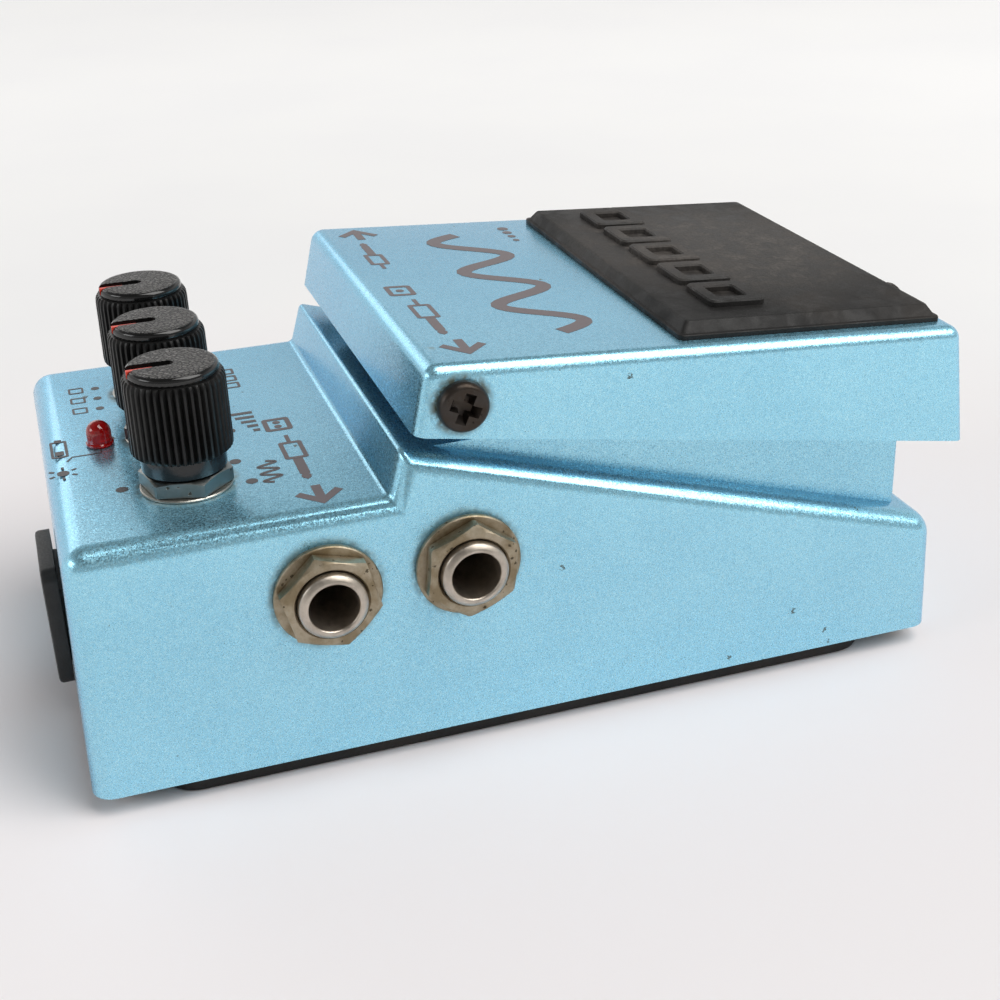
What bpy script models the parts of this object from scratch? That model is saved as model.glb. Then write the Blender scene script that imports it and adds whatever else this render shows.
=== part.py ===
"""Compact foot pedal for guitar effects, built as an assembly of separate solids.

Frame: +X to the player's right, +Y away from the player (towards the knobs), +Z up.
Origin: under the rubber base, in its face.  All sizes below are in millimetres.
"""
import math

import bmesh
import bpy
from mathutils import Matrix, Vector

MM = 0.001
GAP = 0.3                     # clearance kept between neighbouring pieces

# Case: a cast lower tier with a sloping deck, and a raised block on the deck
FOOT_H = 3.0                  # height of the rubber base under the case
CASE_HALF_W = 34.7            # at the bottom rim
CASE_REAR_Y = 64.5
CASE_FRONT_Y = -61.65
DRAFT = 0.03                  # slope of every cast wall
PANEL_Z = 38.7
STEP_Y = 21.6                 # foot of the step between panel and deck
CREST_Y = 19.75
CREST_Z = 45.1
DECK_FRONT_Z = 21.0
WALL = 2.0
EDGE_R = 1.8
BLOCK_HALF_W = 29.2
BLOCK_FRONT_Y = -56.85
BLOCK_FRONT_Z = 45.4
BLOCK_REAR_Z = 52.9
SILL_Z = 43.5                 # low sill of the block under the hinge, clear of the treadle's swing
SILL_REAR_Y = 15.2

# Treadle and its hinge
AXIS_Y = 11.9
AXIS_Z = 51.2
EAR_R = 3.1
TREADLE_HALF_W = 34.1
TREADLE_REAR_TOP = (16.2, 56.6)
TREADLE_REAR_BOTTOM = (18.3, 47.5)
TREADLE_FRONT_BOTTOM = (-64.15, 33.4)
TREADLE_FRONT_TOP = (-62.1, 51.05)
SKIN = 1.7                    # thickness of the treadle's casting
PAD_REAR_Y = -19.8
PAD_FRONT_Y = -60.2
PAD_HALF_W = 31.2
PAD_H = 2.3

# Foot-end mechanism
SPRING_Y = -46.5
SPRING_R = 4.7
SPRING_WIRE_R = 0.6
SPRING_TURNS = 5.5
SPRING_SEAT_Z = 34.0
PLUNGER_X = -17.0
PLUNGER_TOP_Z = 48.0
PLUNGER_HOLE_RADIUS = 3.1
PUSHER_RADIUS = 2.1           # pin under the treadle, swings a little in the hole
THUMB_Z = 40.5
THUMB_BOSS_Y = -65.4
CLIP_Y = -61.1
THUMB_TRAVEL = 2.2

# Controls
KNOB_X = 17.9
KNOB_Y = 45.7
KNOB_R = 6.75
KNOB_BASE_Z = 41.6
KNOB_SKIRT_Z = 44.2
KNOB_SHOULDER_Z = 54.8
KNOB_TOP_Z = 56.2
FLUTES = 26
LED_Y = 55.5

# Sockets
JACK_END_X = 38.3
JACK_A = (11.9, 28.2)         # y, z of the front pair
JACK_B = (31.1, 27.4)         # y, z of the rear one
DC_Z = 14.4

# Battery bay in the block
BAY_Y = (-40.0, -8.4)
BAY_HALF_W = 27.0
BAY_FLOOR_Z = 30.0

# Boards and base
BOARD_Z = 8.0
BOARD_T = 1.6
SCREW_X = 30.0
SCREW_Y = (60.0, -57.6)
MAT_CORNER = 11.3             # corners of the rubber base, cut clear of the screws
BOARD_POSTS = ((-29.7, 42.0), (29.7, -30.0))

PALETTE = {
    "blue_paint": ((0.30, 0.57, 0.72), 0.32, 0.45),
    "black_rubber": ((0.030, 0.029, 0.028), 0.75, 0.0),
    "black_plastic": ((0.010, 0.010, 0.010), 0.38, 0.0),
    "grey_plastic": ((0.16, 0.16, 0.17), 0.5, 0.0),
    "nylon": ((0.75, 0.73, 0.66), 0.45, 0.0),
    "red_lens": ((0.50, 0.008, 0.010), 0.12, 0.0),
    "nickel": ((0.55, 0.51, 0.44), 0.35, 1.0),
    "zinc": ((0.42, 0.44, 0.43), 0.40, 1.0),
    "black_steel": ((0.035, 0.030, 0.026), 0.40, 0.8),
    "spring_steel": ((0.50, 0.50, 0.50), 0.30, 1.0),
    "plated_steel": ((0.58, 0.57, 0.52), 0.35, 1.0),
    "board": ((0.16, 0.22, 0.06), 0.55, 0.0),
    "fibre": ((0.42, 0.36, 0.24), 0.8, 0.0),
    "battery_jacket": ((0.05, 0.06, 0.09), 0.35, 0.3),
    "capacitor_sleeve": ((0.02, 0.05, 0.14), 0.35, 0.0),
}


def clear_scene():
    for obj in list(bpy.data.objects):
        bpy.data.objects.remove(obj, do_unlink=True)


def material(name):
    found = bpy.data.materials.get(name)
    if found:
        return found
    color, roughness, metallic = PALETTE[name]
    made = bpy.data.materials.new(name)
    made.use_nodes = True
    shader = made.node_tree.nodes["Principled BSDF"]
    shader.inputs["Base Color"].default_value = (*color, 1.0)
    shader.inputs["Roughness"].default_value = roughness
    shader.inputs["Metallic"].default_value = metallic
    return made


# ---------------------------------------------------------------- mesh helpers

def place(name, bm, finish=None, origin=(0, 0, 0)):
    """Turn a bmesh in millimetres into an object whose origin is at `origin`."""
    bmesh.ops.recalc_face_normals(bm, faces=bm.faces)
    bmesh.ops.transform(bm, matrix=Matrix.Translation(-Vector(origin)), verts=bm.verts)
    bmesh.ops.scale(bm, vec=(MM, MM, MM), verts=bm.verts)
    mesh = bpy.data.meshes.new(name)
    bm.to_mesh(mesh)
    bm.free()
    obj = bpy.data.objects.new(name, mesh)
    obj.location = Vector(origin) * MM
    bpy.context.collection.objects.link(obj)
    if finish:
        mesh.materials.append(material(finish))
        mesh.shade_smooth()
        mesh.set_sharp_from_angle(angle=math.radians(35))
    else:
        obj.hide_render = True
        obj.display_type = "WIRE"
    return obj


def cut(obj, tool, operation="DIFFERENCE"):
    """Add a Boolean with a hidden tool object."""
    modifier = obj.modifiers.new(tool.name, "BOOLEAN")
    modifier.object = tool
    modifier.operation = operation
    modifier.solver = "EXACT"


def ring_prism(low, high):
    """Closed solid between two matching rings of points."""
    bm = bmesh.new()
    below = [bm.verts.new(p) for p in low]
    above = [bm.verts.new(p) for p in high]
    bm.faces.new(below)
    bm.faces.new(above)
    count = len(low)
    for i in range(count):
        j = (i + 1) % count
        bm.faces.new((below[i], below[j], above[j], above[i]))
    return bm


def box(low, high):
    x0, y0, z0 = low
    x1, y1, z1 = high
    corners = [(x0, y0), (x1, y0), (x1, y1), (x0, y1)]
    return ring_prism([(x, y, z0) for x, y in corners], [(x, y, z1) for x, y in corners])


def circle(radius, sides, turn=0.5):
    step = 2 * math.pi / sides
    return [(radius * math.cos(step * (i + turn)), radius * math.sin(step * (i + turn)))
            for i in range(sides)]


def along(axis, centre, outline, start, end):
    """Extrude an outline, centred on `centre`, along a named axis."""
    u, v = centre
    if axis == "Z":
        low = [(u + a, v + b, start) for a, b in outline]
        high = [(u + a, v + b, end) for a, b in outline]
    elif axis == "Y":
        low = [(u + a, start, v + b) for a, b in outline]
        high = [(u + a, end, v + b) for a, b in outline]
    else:
        low = [(start, u + a, v + b) for a, b in outline]
        high = [(end, u + a, v + b) for a, b in outline]
    return ring_prism(low, high)


def rod(axis, centre, radius, start, end, sides=20):
    return along(axis, centre, circle(radius, sides), start, end)


def turned(centre, steps, sides=24):
    """Upright turned solid: steps are (radius, z) from bottom to top."""
    bm = bmesh.new()
    rings = []
    for radius, z in steps:
        ring = [bm.verts.new((centre[0] + x, centre[1] + y, z)) for x, y in circle(radius, sides)]
        rings.append(ring)
    for lower, upper in zip(rings, rings[1:]):
        for i in range(sides):
            j = (i + 1) % sides
            bm.faces.new((lower[i], lower[j], upper[j], upper[i]))
    bm.faces.new(rings[0])
    bm.faces.new(rings[-1])
    return bm


def side_profile(points, half_width):
    """Solid whose outline in YZ is `points`; half_width(z) gives its reach in X."""
    left = [(-half_width(z), y, z) for y, z in points]
    right = [(half_width(z), y, z) for y, z in points]
    return ring_prism(left, right)


def round_edges(bm, radius, keep, segments=2):
    """Bevel every edge for which keep(edge) is false."""
    edges = [e for e in bm.edges if not keep(e)]
    bmesh.ops.bevel(bm, geom=edges, offset=radius, segments=segments, affect="EDGES", profile=0.5,
                    clamp_overlap=True)


def hexagon(across_flats):
    return circle(across_flats / math.sqrt(3), 6, 0.0)


def tool(name, bm):
    return place(name, bm)


# ---------------------------------------------------------------- shared lines

def case_half_width(z):
    return CASE_HALF_W - DRAFT * (z - FOOT_H)


def deck_z(y):
    slope = (CREST_Z - DECK_FRONT_Z) / (CREST_Y - CASE_FRONT_Y - 0.55)
    return CREST_Z - slope * (CREST_Y - y)


def treadle_half_width(z):
    return TREADLE_HALF_W + DRAFT * (54.0 - z)


def treadle_top(y):
    (y0, z0), (y1, z1) = TREADLE_REAR_TOP, TREADLE_FRONT_TOP
    return z0 + (y - y0) * (z1 - z0) / (y1 - y0)


def arc(centre, radius, start, end, count):
    points = []
    for i in range(count + 1):
        angle = math.radians(start + (end - start) * i / count)
        points.append((centre[0] + radius * math.cos(angle), centre[1] + radius * math.sin(angle)))
    return points


# ---------------------------------------------------------------- castings

def case_outer():
    points = [
        (CASE_REAR_Y, FOOT_H),
        (CASE_REAR_Y - DRAFT * (PANEL_Z - FOOT_H), PANEL_Z),
        (STEP_Y, PANEL_Z),
        (CREST_Y, CREST_Z),
        (CASE_FRONT_Y + 0.55, DECK_FRONT_Z),
        (CASE_FRONT_Y, FOOT_H),
    ]
    bm = side_profile(points, case_half_width)
    round_edges(bm, EDGE_R, lambda e: all(v.co.z < FOOT_H + 0.1 for v in e.verts))
    return bm


def case_cavity():
    deck_drop = WALL + 0.1
    points = [
        (CASE_REAR_Y - WALL, FOOT_H - 2),
        (CASE_REAR_Y - WALL - 1.1, PANEL_Z - WALL),
        (STEP_Y - WALL, PANEL_Z - WALL),
        (CREST_Y - 1.7, deck_z(CREST_Y - 1.7) - deck_drop),
        (CASE_FRONT_Y + 2.3, deck_z(CASE_FRONT_Y + 2.3) - deck_drop),
        (CASE_FRONT_Y + WALL, FOOT_H - 2),
    ]
    return side_profile(points, lambda z: case_half_width(z) - WALL)


def block_outer():
    ear = (AXIS_Y, AXIS_Z)
    points = [(BLOCK_FRONT_Y, 19.5), (BLOCK_FRONT_Y, BLOCK_FRONT_Z), (9.0, BLOCK_REAR_Z)]
    points += arc(ear, EAR_R, 105, -125, 10)
    points += [(7.9, 44.5), (8.2, SILL_Z), (SILL_REAR_Y, SILL_Z), (SILL_REAR_Y, 40.0)]
    points.reverse()
    return side_profile(points, lambda z: BLOCK_HALF_W - DRAFT * (z - 24.0))


def case_shell():
    """Lower tier, panel, sloping deck and the raised block, in one casting."""
    shell = place("case_shell", case_outer(), "blue_paint")
    cut(shell, tool("case_cavity", case_cavity()))
    cut(shell, tool("block_outer", block_outer()), "UNION")
    low_end = FOOT_H + 7.0
    cut(shell, tool("block_front_hollow", box((-BAY_HALF_W, -55.0, low_end), (BAY_HALF_W, -41.8, 43.4))))
    cut(shell, tool("block_rear_hollow", box((-BAY_HALF_W, -6.6, 18.0), (BAY_HALF_W, 3.7, 49.6))))
    cut(shell, tool("bay_tray", box((-28.6, -41.9, 28.0), (28.6, -6.5, 39.0))), "UNION")
    cut(shell, tool("spring_cup", rod("Z", (0, SPRING_Y), 7.2, 32.2, 44.5, 24)), "UNION")
    cut(shell, tool("battery_bay", box((-BAY_HALF_W, BAY_Y[0], BAY_FLOOR_Z), (BAY_HALF_W, BAY_Y[1], 60))))
    cut(shell, tool("ear_gap", box((-23.0, 5.6, 45.2), (23.0, 17.0, 60))))
    cut(shell, tool("spring_well", rod("Z", (0, SPRING_Y), 5.8, SPRING_SEAT_Z, 60, 24)))
    cut(shell, tool("plunger_hole", rod("Z", (PLUNGER_X, SPRING_Y), PLUNGER_HOLE_RADIUS, 42, 60, 16)))
    cut(shell, tool("bush_hole", along("Y", (0, THUMB_Z - 0.6), slot_outline(3.3, 2.6), -58, -54)))
    for side in (-1, 1):
        label = "left" if side < 0 else "right"
        cut(shell, tool("ear_hole_" + label, rod("X", (AXIS_Y, AXIS_Z), 2.2, side * 22, side * 31, 16)))
        cut(shell, tool("jack_hole_a" + label, rod("X", JACK_A, 5.0, side * 30, side * 37, 24)))
        for y in SCREW_Y:
            post = (side * SCREW_X, y - math.copysign(0.8, y))
            cut(shell, tool("post_%s_%d" % (label, y), rod("Z", post, 3.4, 4.8, 14, 12)), "UNION")
            hole = (side * SCREW_X, y)
            cut(shell, tool("tap_%s_%d" % (label, y), rod("Z", hole, 1.6, 2, 12, 10)))
    for x, y in BOARD_POSTS:
        top = PANEL_Z - 1 if y > 0 else deck_z(y) - 1
        cut(shell, tool("board_post_%d" % y, rod("Z", (x, y), 3.3, BOARD_Z + BOARD_T + GAP, top, 12)), "UNION")
        cut(shell, tool("board_tap_%d" % y, rod("Z", (x, y), 1.4, 2, 16, 10)))
    cut(shell, tool("jack_hole_b", rod("X", JACK_B, 5.0, -37, -30, 24)))
    for x in (-KNOB_X, 0.0, KNOB_X):
        cut(shell, tool("pot_hole_%d" % x, rod("Z", (x, KNOB_Y), 3.8, 30, 42, 20)))
    cut(shell, tool("led_hole", rod("Z", (0, LED_Y), 1.5, 30, 42, 12)))
    cut(shell, tool("dc_hole", box((-6.9, 58, DC_Z - 6.3), (6.9, 68, DC_Z + 6.3))))


def slot_outline(half_width, half_straight):
    """Upright slot with round ends."""
    upper = arc((0, half_straight), half_width, 0, 180, 8)
    lower = arc((0, -half_straight), half_width, 180, 360, 8)
    return upper + lower


def treadle_outer():
    points = [TREADLE_REAR_TOP, TREADLE_REAR_BOTTOM, TREADLE_FRONT_BOTTOM, TREADLE_FRONT_TOP]
    bm = side_profile(points, treadle_half_width)

    def in_bottom(edge):
        return all(v.co.z < treadle_top(v.co.y) - 6.0 for v in edge.verts)

    round_edges(bm, EDGE_R, in_bottom)
    return bm


def treadle_inner():
    rear_top, rear_bottom = TREADLE_REAR_TOP, TREADLE_REAR_BOTTOM
    front_bottom, front_top = TREADLE_FRONT_BOTTOM, TREADLE_FRONT_TOP
    wall = SKIN * 0.97
    points = [
        (rear_top[0] - wall - 0.1, treadle_top(rear_top[0] - wall) - SKIN),
        (rear_bottom[0] - wall + 0.6, rear_bottom[1] - 2.0),
        (front_bottom[0] + wall - 0.4, front_bottom[1] - 3.0),
        (front_top[0] + wall - 0.4, treadle_top(front_top[0] + wall) - SKIN),
    ]
    return side_profile(points, lambda z: treadle_half_width(z) - SKIN)


def treadle_shell():
    """Foot plate: a shallow tray turned over, with bosses under it."""
    hinge = (0, AXIS_Y, AXIS_Z)
    shell = place("treadle_shell", treadle_outer(), "blue_paint", hinge)
    cut(shell, tool("treadle_inner", treadle_inner()))
    under = treadle_top(SPRING_Y) - SKIN
    stub = turned((0, SPRING_Y), [(3.2, under - 3.4), (3.5, under - 3.0), (3.5, under + 0.6)], 16)
    cut(shell, tool("spring_stub", stub), "UNION")
    pusher = rod("Z", (PLUNGER_X, SPRING_Y), PUSHER_RADIUS, PLUNGER_TOP_Z + GAP, under + 0.6, 12)
    cut(shell, tool("pusher", pusher), "UNION")
    boss = rod("Y", (0, THUMB_Z), 5.6, THUMB_BOSS_Y, CLIP_Y - GAP, 24)
    cut(shell, tool("thumb_boss", boss), "UNION")
    cut(shell, tool("thumb_hole", rod("Y", (0, THUMB_Z), 2.6, -70, -58, 20)))
    for side in (-1, 1):
        label = "left" if side < 0 else "right"
        cut(shell, tool("hinge_hole_" + label, rod("X", (AXIS_Y, AXIS_Z), 1.9, side * 30, side * 37, 16)))


def treadle_pad():
    """Rubber tread with a bevelled rim and plain raised bars."""
    rim = 1.1
    base = [(-PAD_HALF_W, PAD_REAR_Y), (PAD_HALF_W, PAD_REAR_Y),
            (PAD_HALF_W, PAD_FRONT_Y), (-PAD_HALF_W, PAD_FRONT_Y)]

    def ring(inset, lift):
        return [(x - math.copysign(inset, x), y + (inset if y < -40 else -inset),
                 treadle_top(y) + lift) for x, y in base]

    levels = [ring(0.0, GAP), ring(0.0, 0.9), ring(rim, PAD_H)]
    bm = bmesh.new()
    rings = [[bm.verts.new(p) for p in level] for level in levels]
    for lower, upper in zip(rings, rings[1:]):
        for i in range(4):
            j = (i + 1) % 4
            bm.faces.new((lower[i], lower[j], upper[j], upper[i]))
    bm.faces.new(rings[0])
    bm.faces.new(rings[-1])
    place("treadle_pad", bm, "black_rubber")


# ---------------------------------------------------------------- hinge

def hinge_parts():
    for side in (-1, 1):
        label = "left" if side < 0 else "right"
        inner_wall = treadle_half_width(AXIS_Z) - SKIN - GAP
        ear_face = BLOCK_HALF_W - DRAFT * (AXIS_Z - 24.0) + GAP
        bush = place("hinge_bush_" + label,
                     rod("X", (AXIS_Y, AXIS_Z), 2.7, side * ear_face, side * inner_wall, 16), "nylon")
        sleeve = rod("X", (AXIS_Y, AXIS_Z), 2.0, side * 23.3, side * (ear_face + 0.5), 16)
        cut(bush, tool("bush_sleeve_" + label, sleeve), "UNION")
        cut(bush, tool("bush_bore_" + label, rod("X", (AXIS_Y, AXIS_Z), 1.6, side * 20, side * 36, 16)))

        outer = treadle_half_width(AXIS_Z) + GAP
        screw = place("hinge_screw_" + label, rod("X", (AXIS_Y, AXIS_Z), 1.5, side * 24, side * (outer + 0.8), 14),
                      "black_steel", (0, AXIS_Y, AXIS_Z))
        head = bmesh.new()
        head_rings = []
        for radius, reach in ((3.4, 0.0), (3.4, 0.9), (2.7, 1.6)):
            ring = [head.verts.new((side * (outer + reach), AXIS_Y + a, AXIS_Z + b))
                    for a, b in circle(radius, 20)]
            head_rings.append(ring)
        for lower, upper in zip(head_rings, head_rings[1:]):
            for i in range(20):
                j = (i + 1) % 20
                head.faces.new((lower[i], lower[j], upper[j], upper[i]))
        head.faces.new(head_rings[0])
        head.faces.new(head_rings[-1])
        cut(screw, tool("screw_head_" + label, head), "UNION")


# ---------------------------------------------------------------- foot-end mechanism

def spring_point(share, bottom, top):
    """Centre line of the wire; the end coils lie flat."""
    angle = 2 * math.pi * SPRING_TURNS * share
    rise = min(max((share - 0.12) / 0.76, 0.0), 1.0)
    z = bottom + (top - bottom) * (0.12 * share + 0.88 * rise)
    return Vector((SPRING_R * math.cos(angle), SPRING_Y + SPRING_R * math.sin(angle), z)), angle


def return_spring():
    top = treadle_top(SPRING_Y) - SKIN - GAP - SPRING_WIRE_R - 0.4
    bottom = SPRING_SEAT_Z + GAP + SPRING_WIRE_R
    count = int(SPRING_TURNS * 12)
    bm = bmesh.new()
    rings = []
    for i in range(count + 1):
        centre, angle = spring_point(i / count, bottom, top)
        out = Vector((math.cos(angle), math.sin(angle), 0))
        ring = [bm.verts.new(centre + out * a + Vector((0, 0, b))) for a, b in circle(SPRING_WIRE_R, 6)]
        rings.append(ring)
    for lower, upper in zip(rings, rings[1:]):
        for i in range(6):
            j = (i + 1) % 6
            bm.faces.new((lower[i], lower[j], upper[j], upper[i]))
    bm.faces.new(rings[0])
    bm.faces.new(rings[-1])
    place("return_spring", bm, "spring_steel", (0, AXIS_Y, AXIS_Z))


def footswitch():
    body = place("footswitch_body", box((PLUNGER_X - 6, -51.0, 33.5), (PLUNGER_X + 6, -42.1, 43.1)), "black_plastic")
    cut(body, tool("switch_bore", rod("Z", (PLUNGER_X, SPRING_Y), 2.7, 35.0, 50, 16)))
    plunger = turned((PLUNGER_X, SPRING_Y),
                     [(2.4, 38.0), (2.4, PLUNGER_TOP_Z - 0.5), (2.0, PLUNGER_TOP_Z)], 16)
    place("switch_plunger", plunger, "nylon", (PLUNGER_X, SPRING_Y, 38.0))


def thumbscrew():
    """Knurled screw held in the treadle's front wall, drawn backed off."""
    centre = (0, THUMB_Z)
    face = THUMB_BOSS_Y - GAP - THUMB_TRAVEL
    tip = -57.9
    origin = (0, face, THUMB_Z)
    screw = place("thumbscrew", rod("Y", centre, 2.25, face - 0.5, tip - 3.0, 20), "black_steel", origin)
    cut(screw, tool("screw_tip", rod("Y", centre, 1.7, tip - 3.5, tip, 16)), "UNION")
    knurl = []
    for i, (x, z) in enumerate(circle(5.3, 48)):
        scale = 1.0 if i % 2 else 0.94
        knurl.append((x * scale, z * scale))
    cut(screw, tool("screw_knurl", along("Y", centre, knurl, face - 5.0, face)), "UNION")
    cut(screw, tool("coin_slot", box((-7, face - 8, THUMB_Z - 0.7), (7, face - 3.6, THUMB_Z + 0.7))))
    clip = place("thumbscrew_clip", rod("Y", centre, 3.6, CLIP_Y, CLIP_Y + 0.6, 20), "spring_steel", (0, CLIP_Y, THUMB_Z))
    cut(clip, tool("clip_bore", rod("Y", centre, 2.4, -66, -58, 20)))

    bush = place("guide_bush", along("Y", (0, THUMB_Z - 0.6), slot_outline(4.2, 2.6), -57.8, -57.2), "nylon")
    throat = along("Y", (0, THUMB_Z - 0.6), slot_outline(3.0, 2.6), -57.5, -54.6)
    cut(bush, tool("bush_throat", throat), "UNION")
    cut(bush, tool("bush_slot", along("Y", (0, THUMB_Z - 0.6), slot_outline(2.2, 2.6), -60, -52)))


# ---------------------------------------------------------------- controls

def fluted(radius, depth):
    outline = []
    for i, (x, y) in enumerate(circle(radius, FLUTES * 2)):
        scale = 1.0 if i % 2 else 1.0 - depth / radius
        outline.append((x * scale, y * scale))
    return outline


def control(label, x, finish):
    centre = (x, KNOB_Y)
    body = place(label[1], box((x - 7.9, KNOB_Y - 6.9, 28.1), (x + 7.9, KNOB_Y + 7.4, 36.4)), finish)
    cut(body, tool(label[0] + "_bushing", rod("Z", centre, 3.5, 35, 42.3, 20)), "UNION")
    cut(body, tool(label[0] + "_bore", rod("Z", centre, 3.0, 31.0, 50, 20)))

    nut = place(label[0] + "_nut", along("Z", centre, hexagon(11.0), PANEL_Z + GAP, 41.3), "zinc")
    cut(nut, tool(label[0] + "_nut_hole", rod("Z", centre, 3.75, 30, 50, 20)))

    origin = (x, KNOB_Y, KNOB_BASE_Z)
    place(label[0] + "_shaft", rod("Z", centre, 2.75, 31.3, 52.0, 16), "plated_steel", origin)

    knob = place(label[0] + "_knob",
                 along("Z", centre, fluted(KNOB_R, 0.45), KNOB_SKIRT_Z, KNOB_SHOULDER_Z), "black_plastic", origin)
    skirt = rod("Z", centre, 5.7, KNOB_BASE_Z, KNOB_SKIRT_Z + 0.5, 28)
    cut(knob, tool(label[0] + "_skirt", skirt), "UNION")
    crown = rod("Z", centre, 5.9, KNOB_SHOULDER_Z - 0.5, KNOB_TOP_Z, 28)
    cut(knob, tool(label[0] + "_crown", crown), "UNION")
    recess = turned(centre, [(3.9, 38.0), (3.9, 43.2), (2.95, 43.2), (2.95, 52.4)], 20)
    cut(knob, tool(label[0] + "_recess", recess))
    slot = box((x - 0.55, KNOB_Y + 0.6, KNOB_TOP_Z - 0.6), (x + 0.55, KNOB_Y + 9, KNOB_TOP_Z + 2))
    cut(knob, tool(label[0] + "_slot", slot))


def led():
    steps = [(1.15, 28.2), (1.15, 39.0), (1.95, 39.0), (1.95, 39.7), (1.6, 39.8), (1.6, 40.7),
             (1.35, 41.5), (0.8, 42.05)]
    place("led_lens", turned((0, LED_Y), steps, 16), "red_lens")


# ---------------------------------------------------------------- sockets

def jack(label, side, centre):
    body = place(label + "_jack",
                 box_x(side, 6.0, 31.3, centre, 6.5, 6.8), "black_plastic")
    cut(body, tool(label + "_barrel", rod("X", centre, 4.7, side * 31.0, side * JACK_END_X, 24)), "UNION")
    cut(body, tool(label + "_bore", rod("X", centre, 3.4, side * 8.0, side * 40, 20)))

    washer = place(label + "_washer", rod("X", centre, 7.25, side * 34.45, side * 35.2, 28), "nickel")
    cut(washer, tool(label + "_washer_hole", rod("X", centre, 5.0, side * 30, side * 40, 24)))
    nut = place(label + "_nut", along("X", centre, hexagon(12.0), side * 35.5, side * 36.9), "nickel")
    cut(nut, tool(label + "_nut_hole", rod("X", centre, 5.0, side * 30, side * 40, 24)))


def box_x(side, near, far, centre, half_y, half_z):
    lo, hi = sorted((side * near, side * far))
    y, z = centre
    return box((lo, y - half_y, z - half_z), (hi, y + half_y, z + half_z))


def dc_jack():
    wall = CASE_REAR_Y - DRAFT * (DC_Z - 9.4 - FOOT_H)
    face = wall + 2.2
    body = place("dc_jack", box((-6.5, 51.0, DC_Z - 5.9), (6.5, wall + 0.6, DC_Z + 5.9)), "black_plastic")
    bezel = box((-8.0, wall + GAP, DC_Z - 9.4), (8.0, face, DC_Z + 9.4))
    round_edges(bezel, 1.2, lambda e: any(v.co.y < wall + GAP + 0.1 for v in e.verts), 1)
    cut(body, tool("dc_bezel", bezel), "UNION")
    cut(body, tool("dc_bore", rod("Y", (0, DC_Z), 3.1, 54.0, 70, 20)))
    place("dc_jack_pin", rod("Y", (0, DC_Z), 1.0, 54.3, face - 0.8, 12), "nickel")


# ---------------------------------------------------------------- power and boards

def battery():
    y = (BAY_Y[0] + BAY_Y[1]) / 2
    cell = place("battery", box((-26.4, y - 13.1, BAY_FLOOR_Z + GAP), (20.0, y + 13.1, 47.6)), "battery_jacket")
    middle = (BAY_FLOOR_Z + GAP + 47.6) / 2
    snap = place("battery_snap", box((20.35, y - 12.6, middle - 6.5), (25.4, y + 12.6, middle + 6.5)),
                 "black_plastic")
    for offset, radius in ((-6.4, 2.8), (6.4, 3.9)):
        centre = (y + offset, middle)
        cut(cell, tool("stud%d" % offset, rod("X", centre, radius, 19.5, 22.2, 14)), "UNION")
        cut(snap, tool("cup%d" % offset, rod("X", centre, radius + 0.4, 19.0, 22.7, 14)))


def boards():
    low, high = BOARD_Z, BOARD_Z + BOARD_T
    main = place("main_board", box((-32.0, -50.0, low), (32.0, 48.0, high)), "board")
    for index, (x, y) in enumerate(BOARD_POSTS):
        cut(main, tool("board_hole_%d" % index, rod("Z", (x, y), 1.6, 0, 20, 10)))
        steps = [(2.3, low - 2.0), (2.3, low - GAP), (1.2, low - GAP), (1.2, low + 7.0)]
        place("board_screw_%d" % (index + 1), turned((x, y), steps, 12), "plated_steel")
    place("control_board", box((-25.9, 38.3, 26.2), (25.9, 60.5, 27.8)), "board")
    seat = high + GAP
    place("delay_chip", box((-12.0, -8.0, seat), (-5.4, 11.0, seat + 3.6)), "black_plastic")
    place("clock_chip", box((4.0, -8.0, seat), (10.6, 2.0, seat + 3.6)), "black_plastic")
    place("amplifier_chip", box((4.0, 12.0, seat), (10.6, 22.0, seat + 3.6)), "black_plastic")
    place("filter_capacitor", rod("Z", (20.0, -12.0), 4.0, seat, seat + 9.0, 20), "capacitor_sleeve")
    place("output_capacitor", rod("Z", (-22.0, -20.0), 3.2, seat, seat + 7.0, 20), "capacitor_sleeve")
    trimmer = place("bias_trimmer", box((-4.0, -26.0, seat), (4.0, -18.0, seat + 4.5)), "grey_plastic")
    cut(trimmer, tool("trimmer_slot", box((-2.6, -22.4, seat + 3.9), (2.6, -21.6, seat + 6))))


def base():
    plate = place("base_plate", box((-32.3, -59.2, FOOT_H + 0.2), (32.3, 62.0, FOOT_H + 1.4)), "plated_steel")
    place("insulator_sheet", box((-31.0, -50.0, FOOT_H + 1.7), (31.0, 52.0, FOOT_H + 2.1)), "fibre")
    half, rear, front = 33.0, 63.5, -60.5
    outline = [
        (half, front + MAT_CORNER), (half, rear - MAT_CORNER), (half - MAT_CORNER, rear),
        (MAT_CORNER - half, rear), (-half, rear - MAT_CORNER), (-half, front + MAT_CORNER),
        (MAT_CORNER - half, front), (half - MAT_CORNER, front),
    ]
    place("rubber_base", ring_prism([(x, y, 0.0) for x, y in outline],
                                    [(x, y, FOOT_H - 0.1) for x, y in outline]), "black_rubber")
    for side in (-1, 1):
        for y in SCREW_Y:
            label = "%s_%s" % ("rear" if y > 0 else "front", "left" if side < 0 else "right")
            centre = (side * SCREW_X, y)
            cut(plate, tool("plate_hole_" + label, rod("Z", centre, 1.8, 0, 8, 12)))
            steps = [(2.3, 1.5), (3.0, 2.1), (3.0, 2.85), (1.35, 2.85), (1.35, 11.0)]
            place("base_screw_" + label, turned(centre, steps, 16), "plated_steel")


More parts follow.
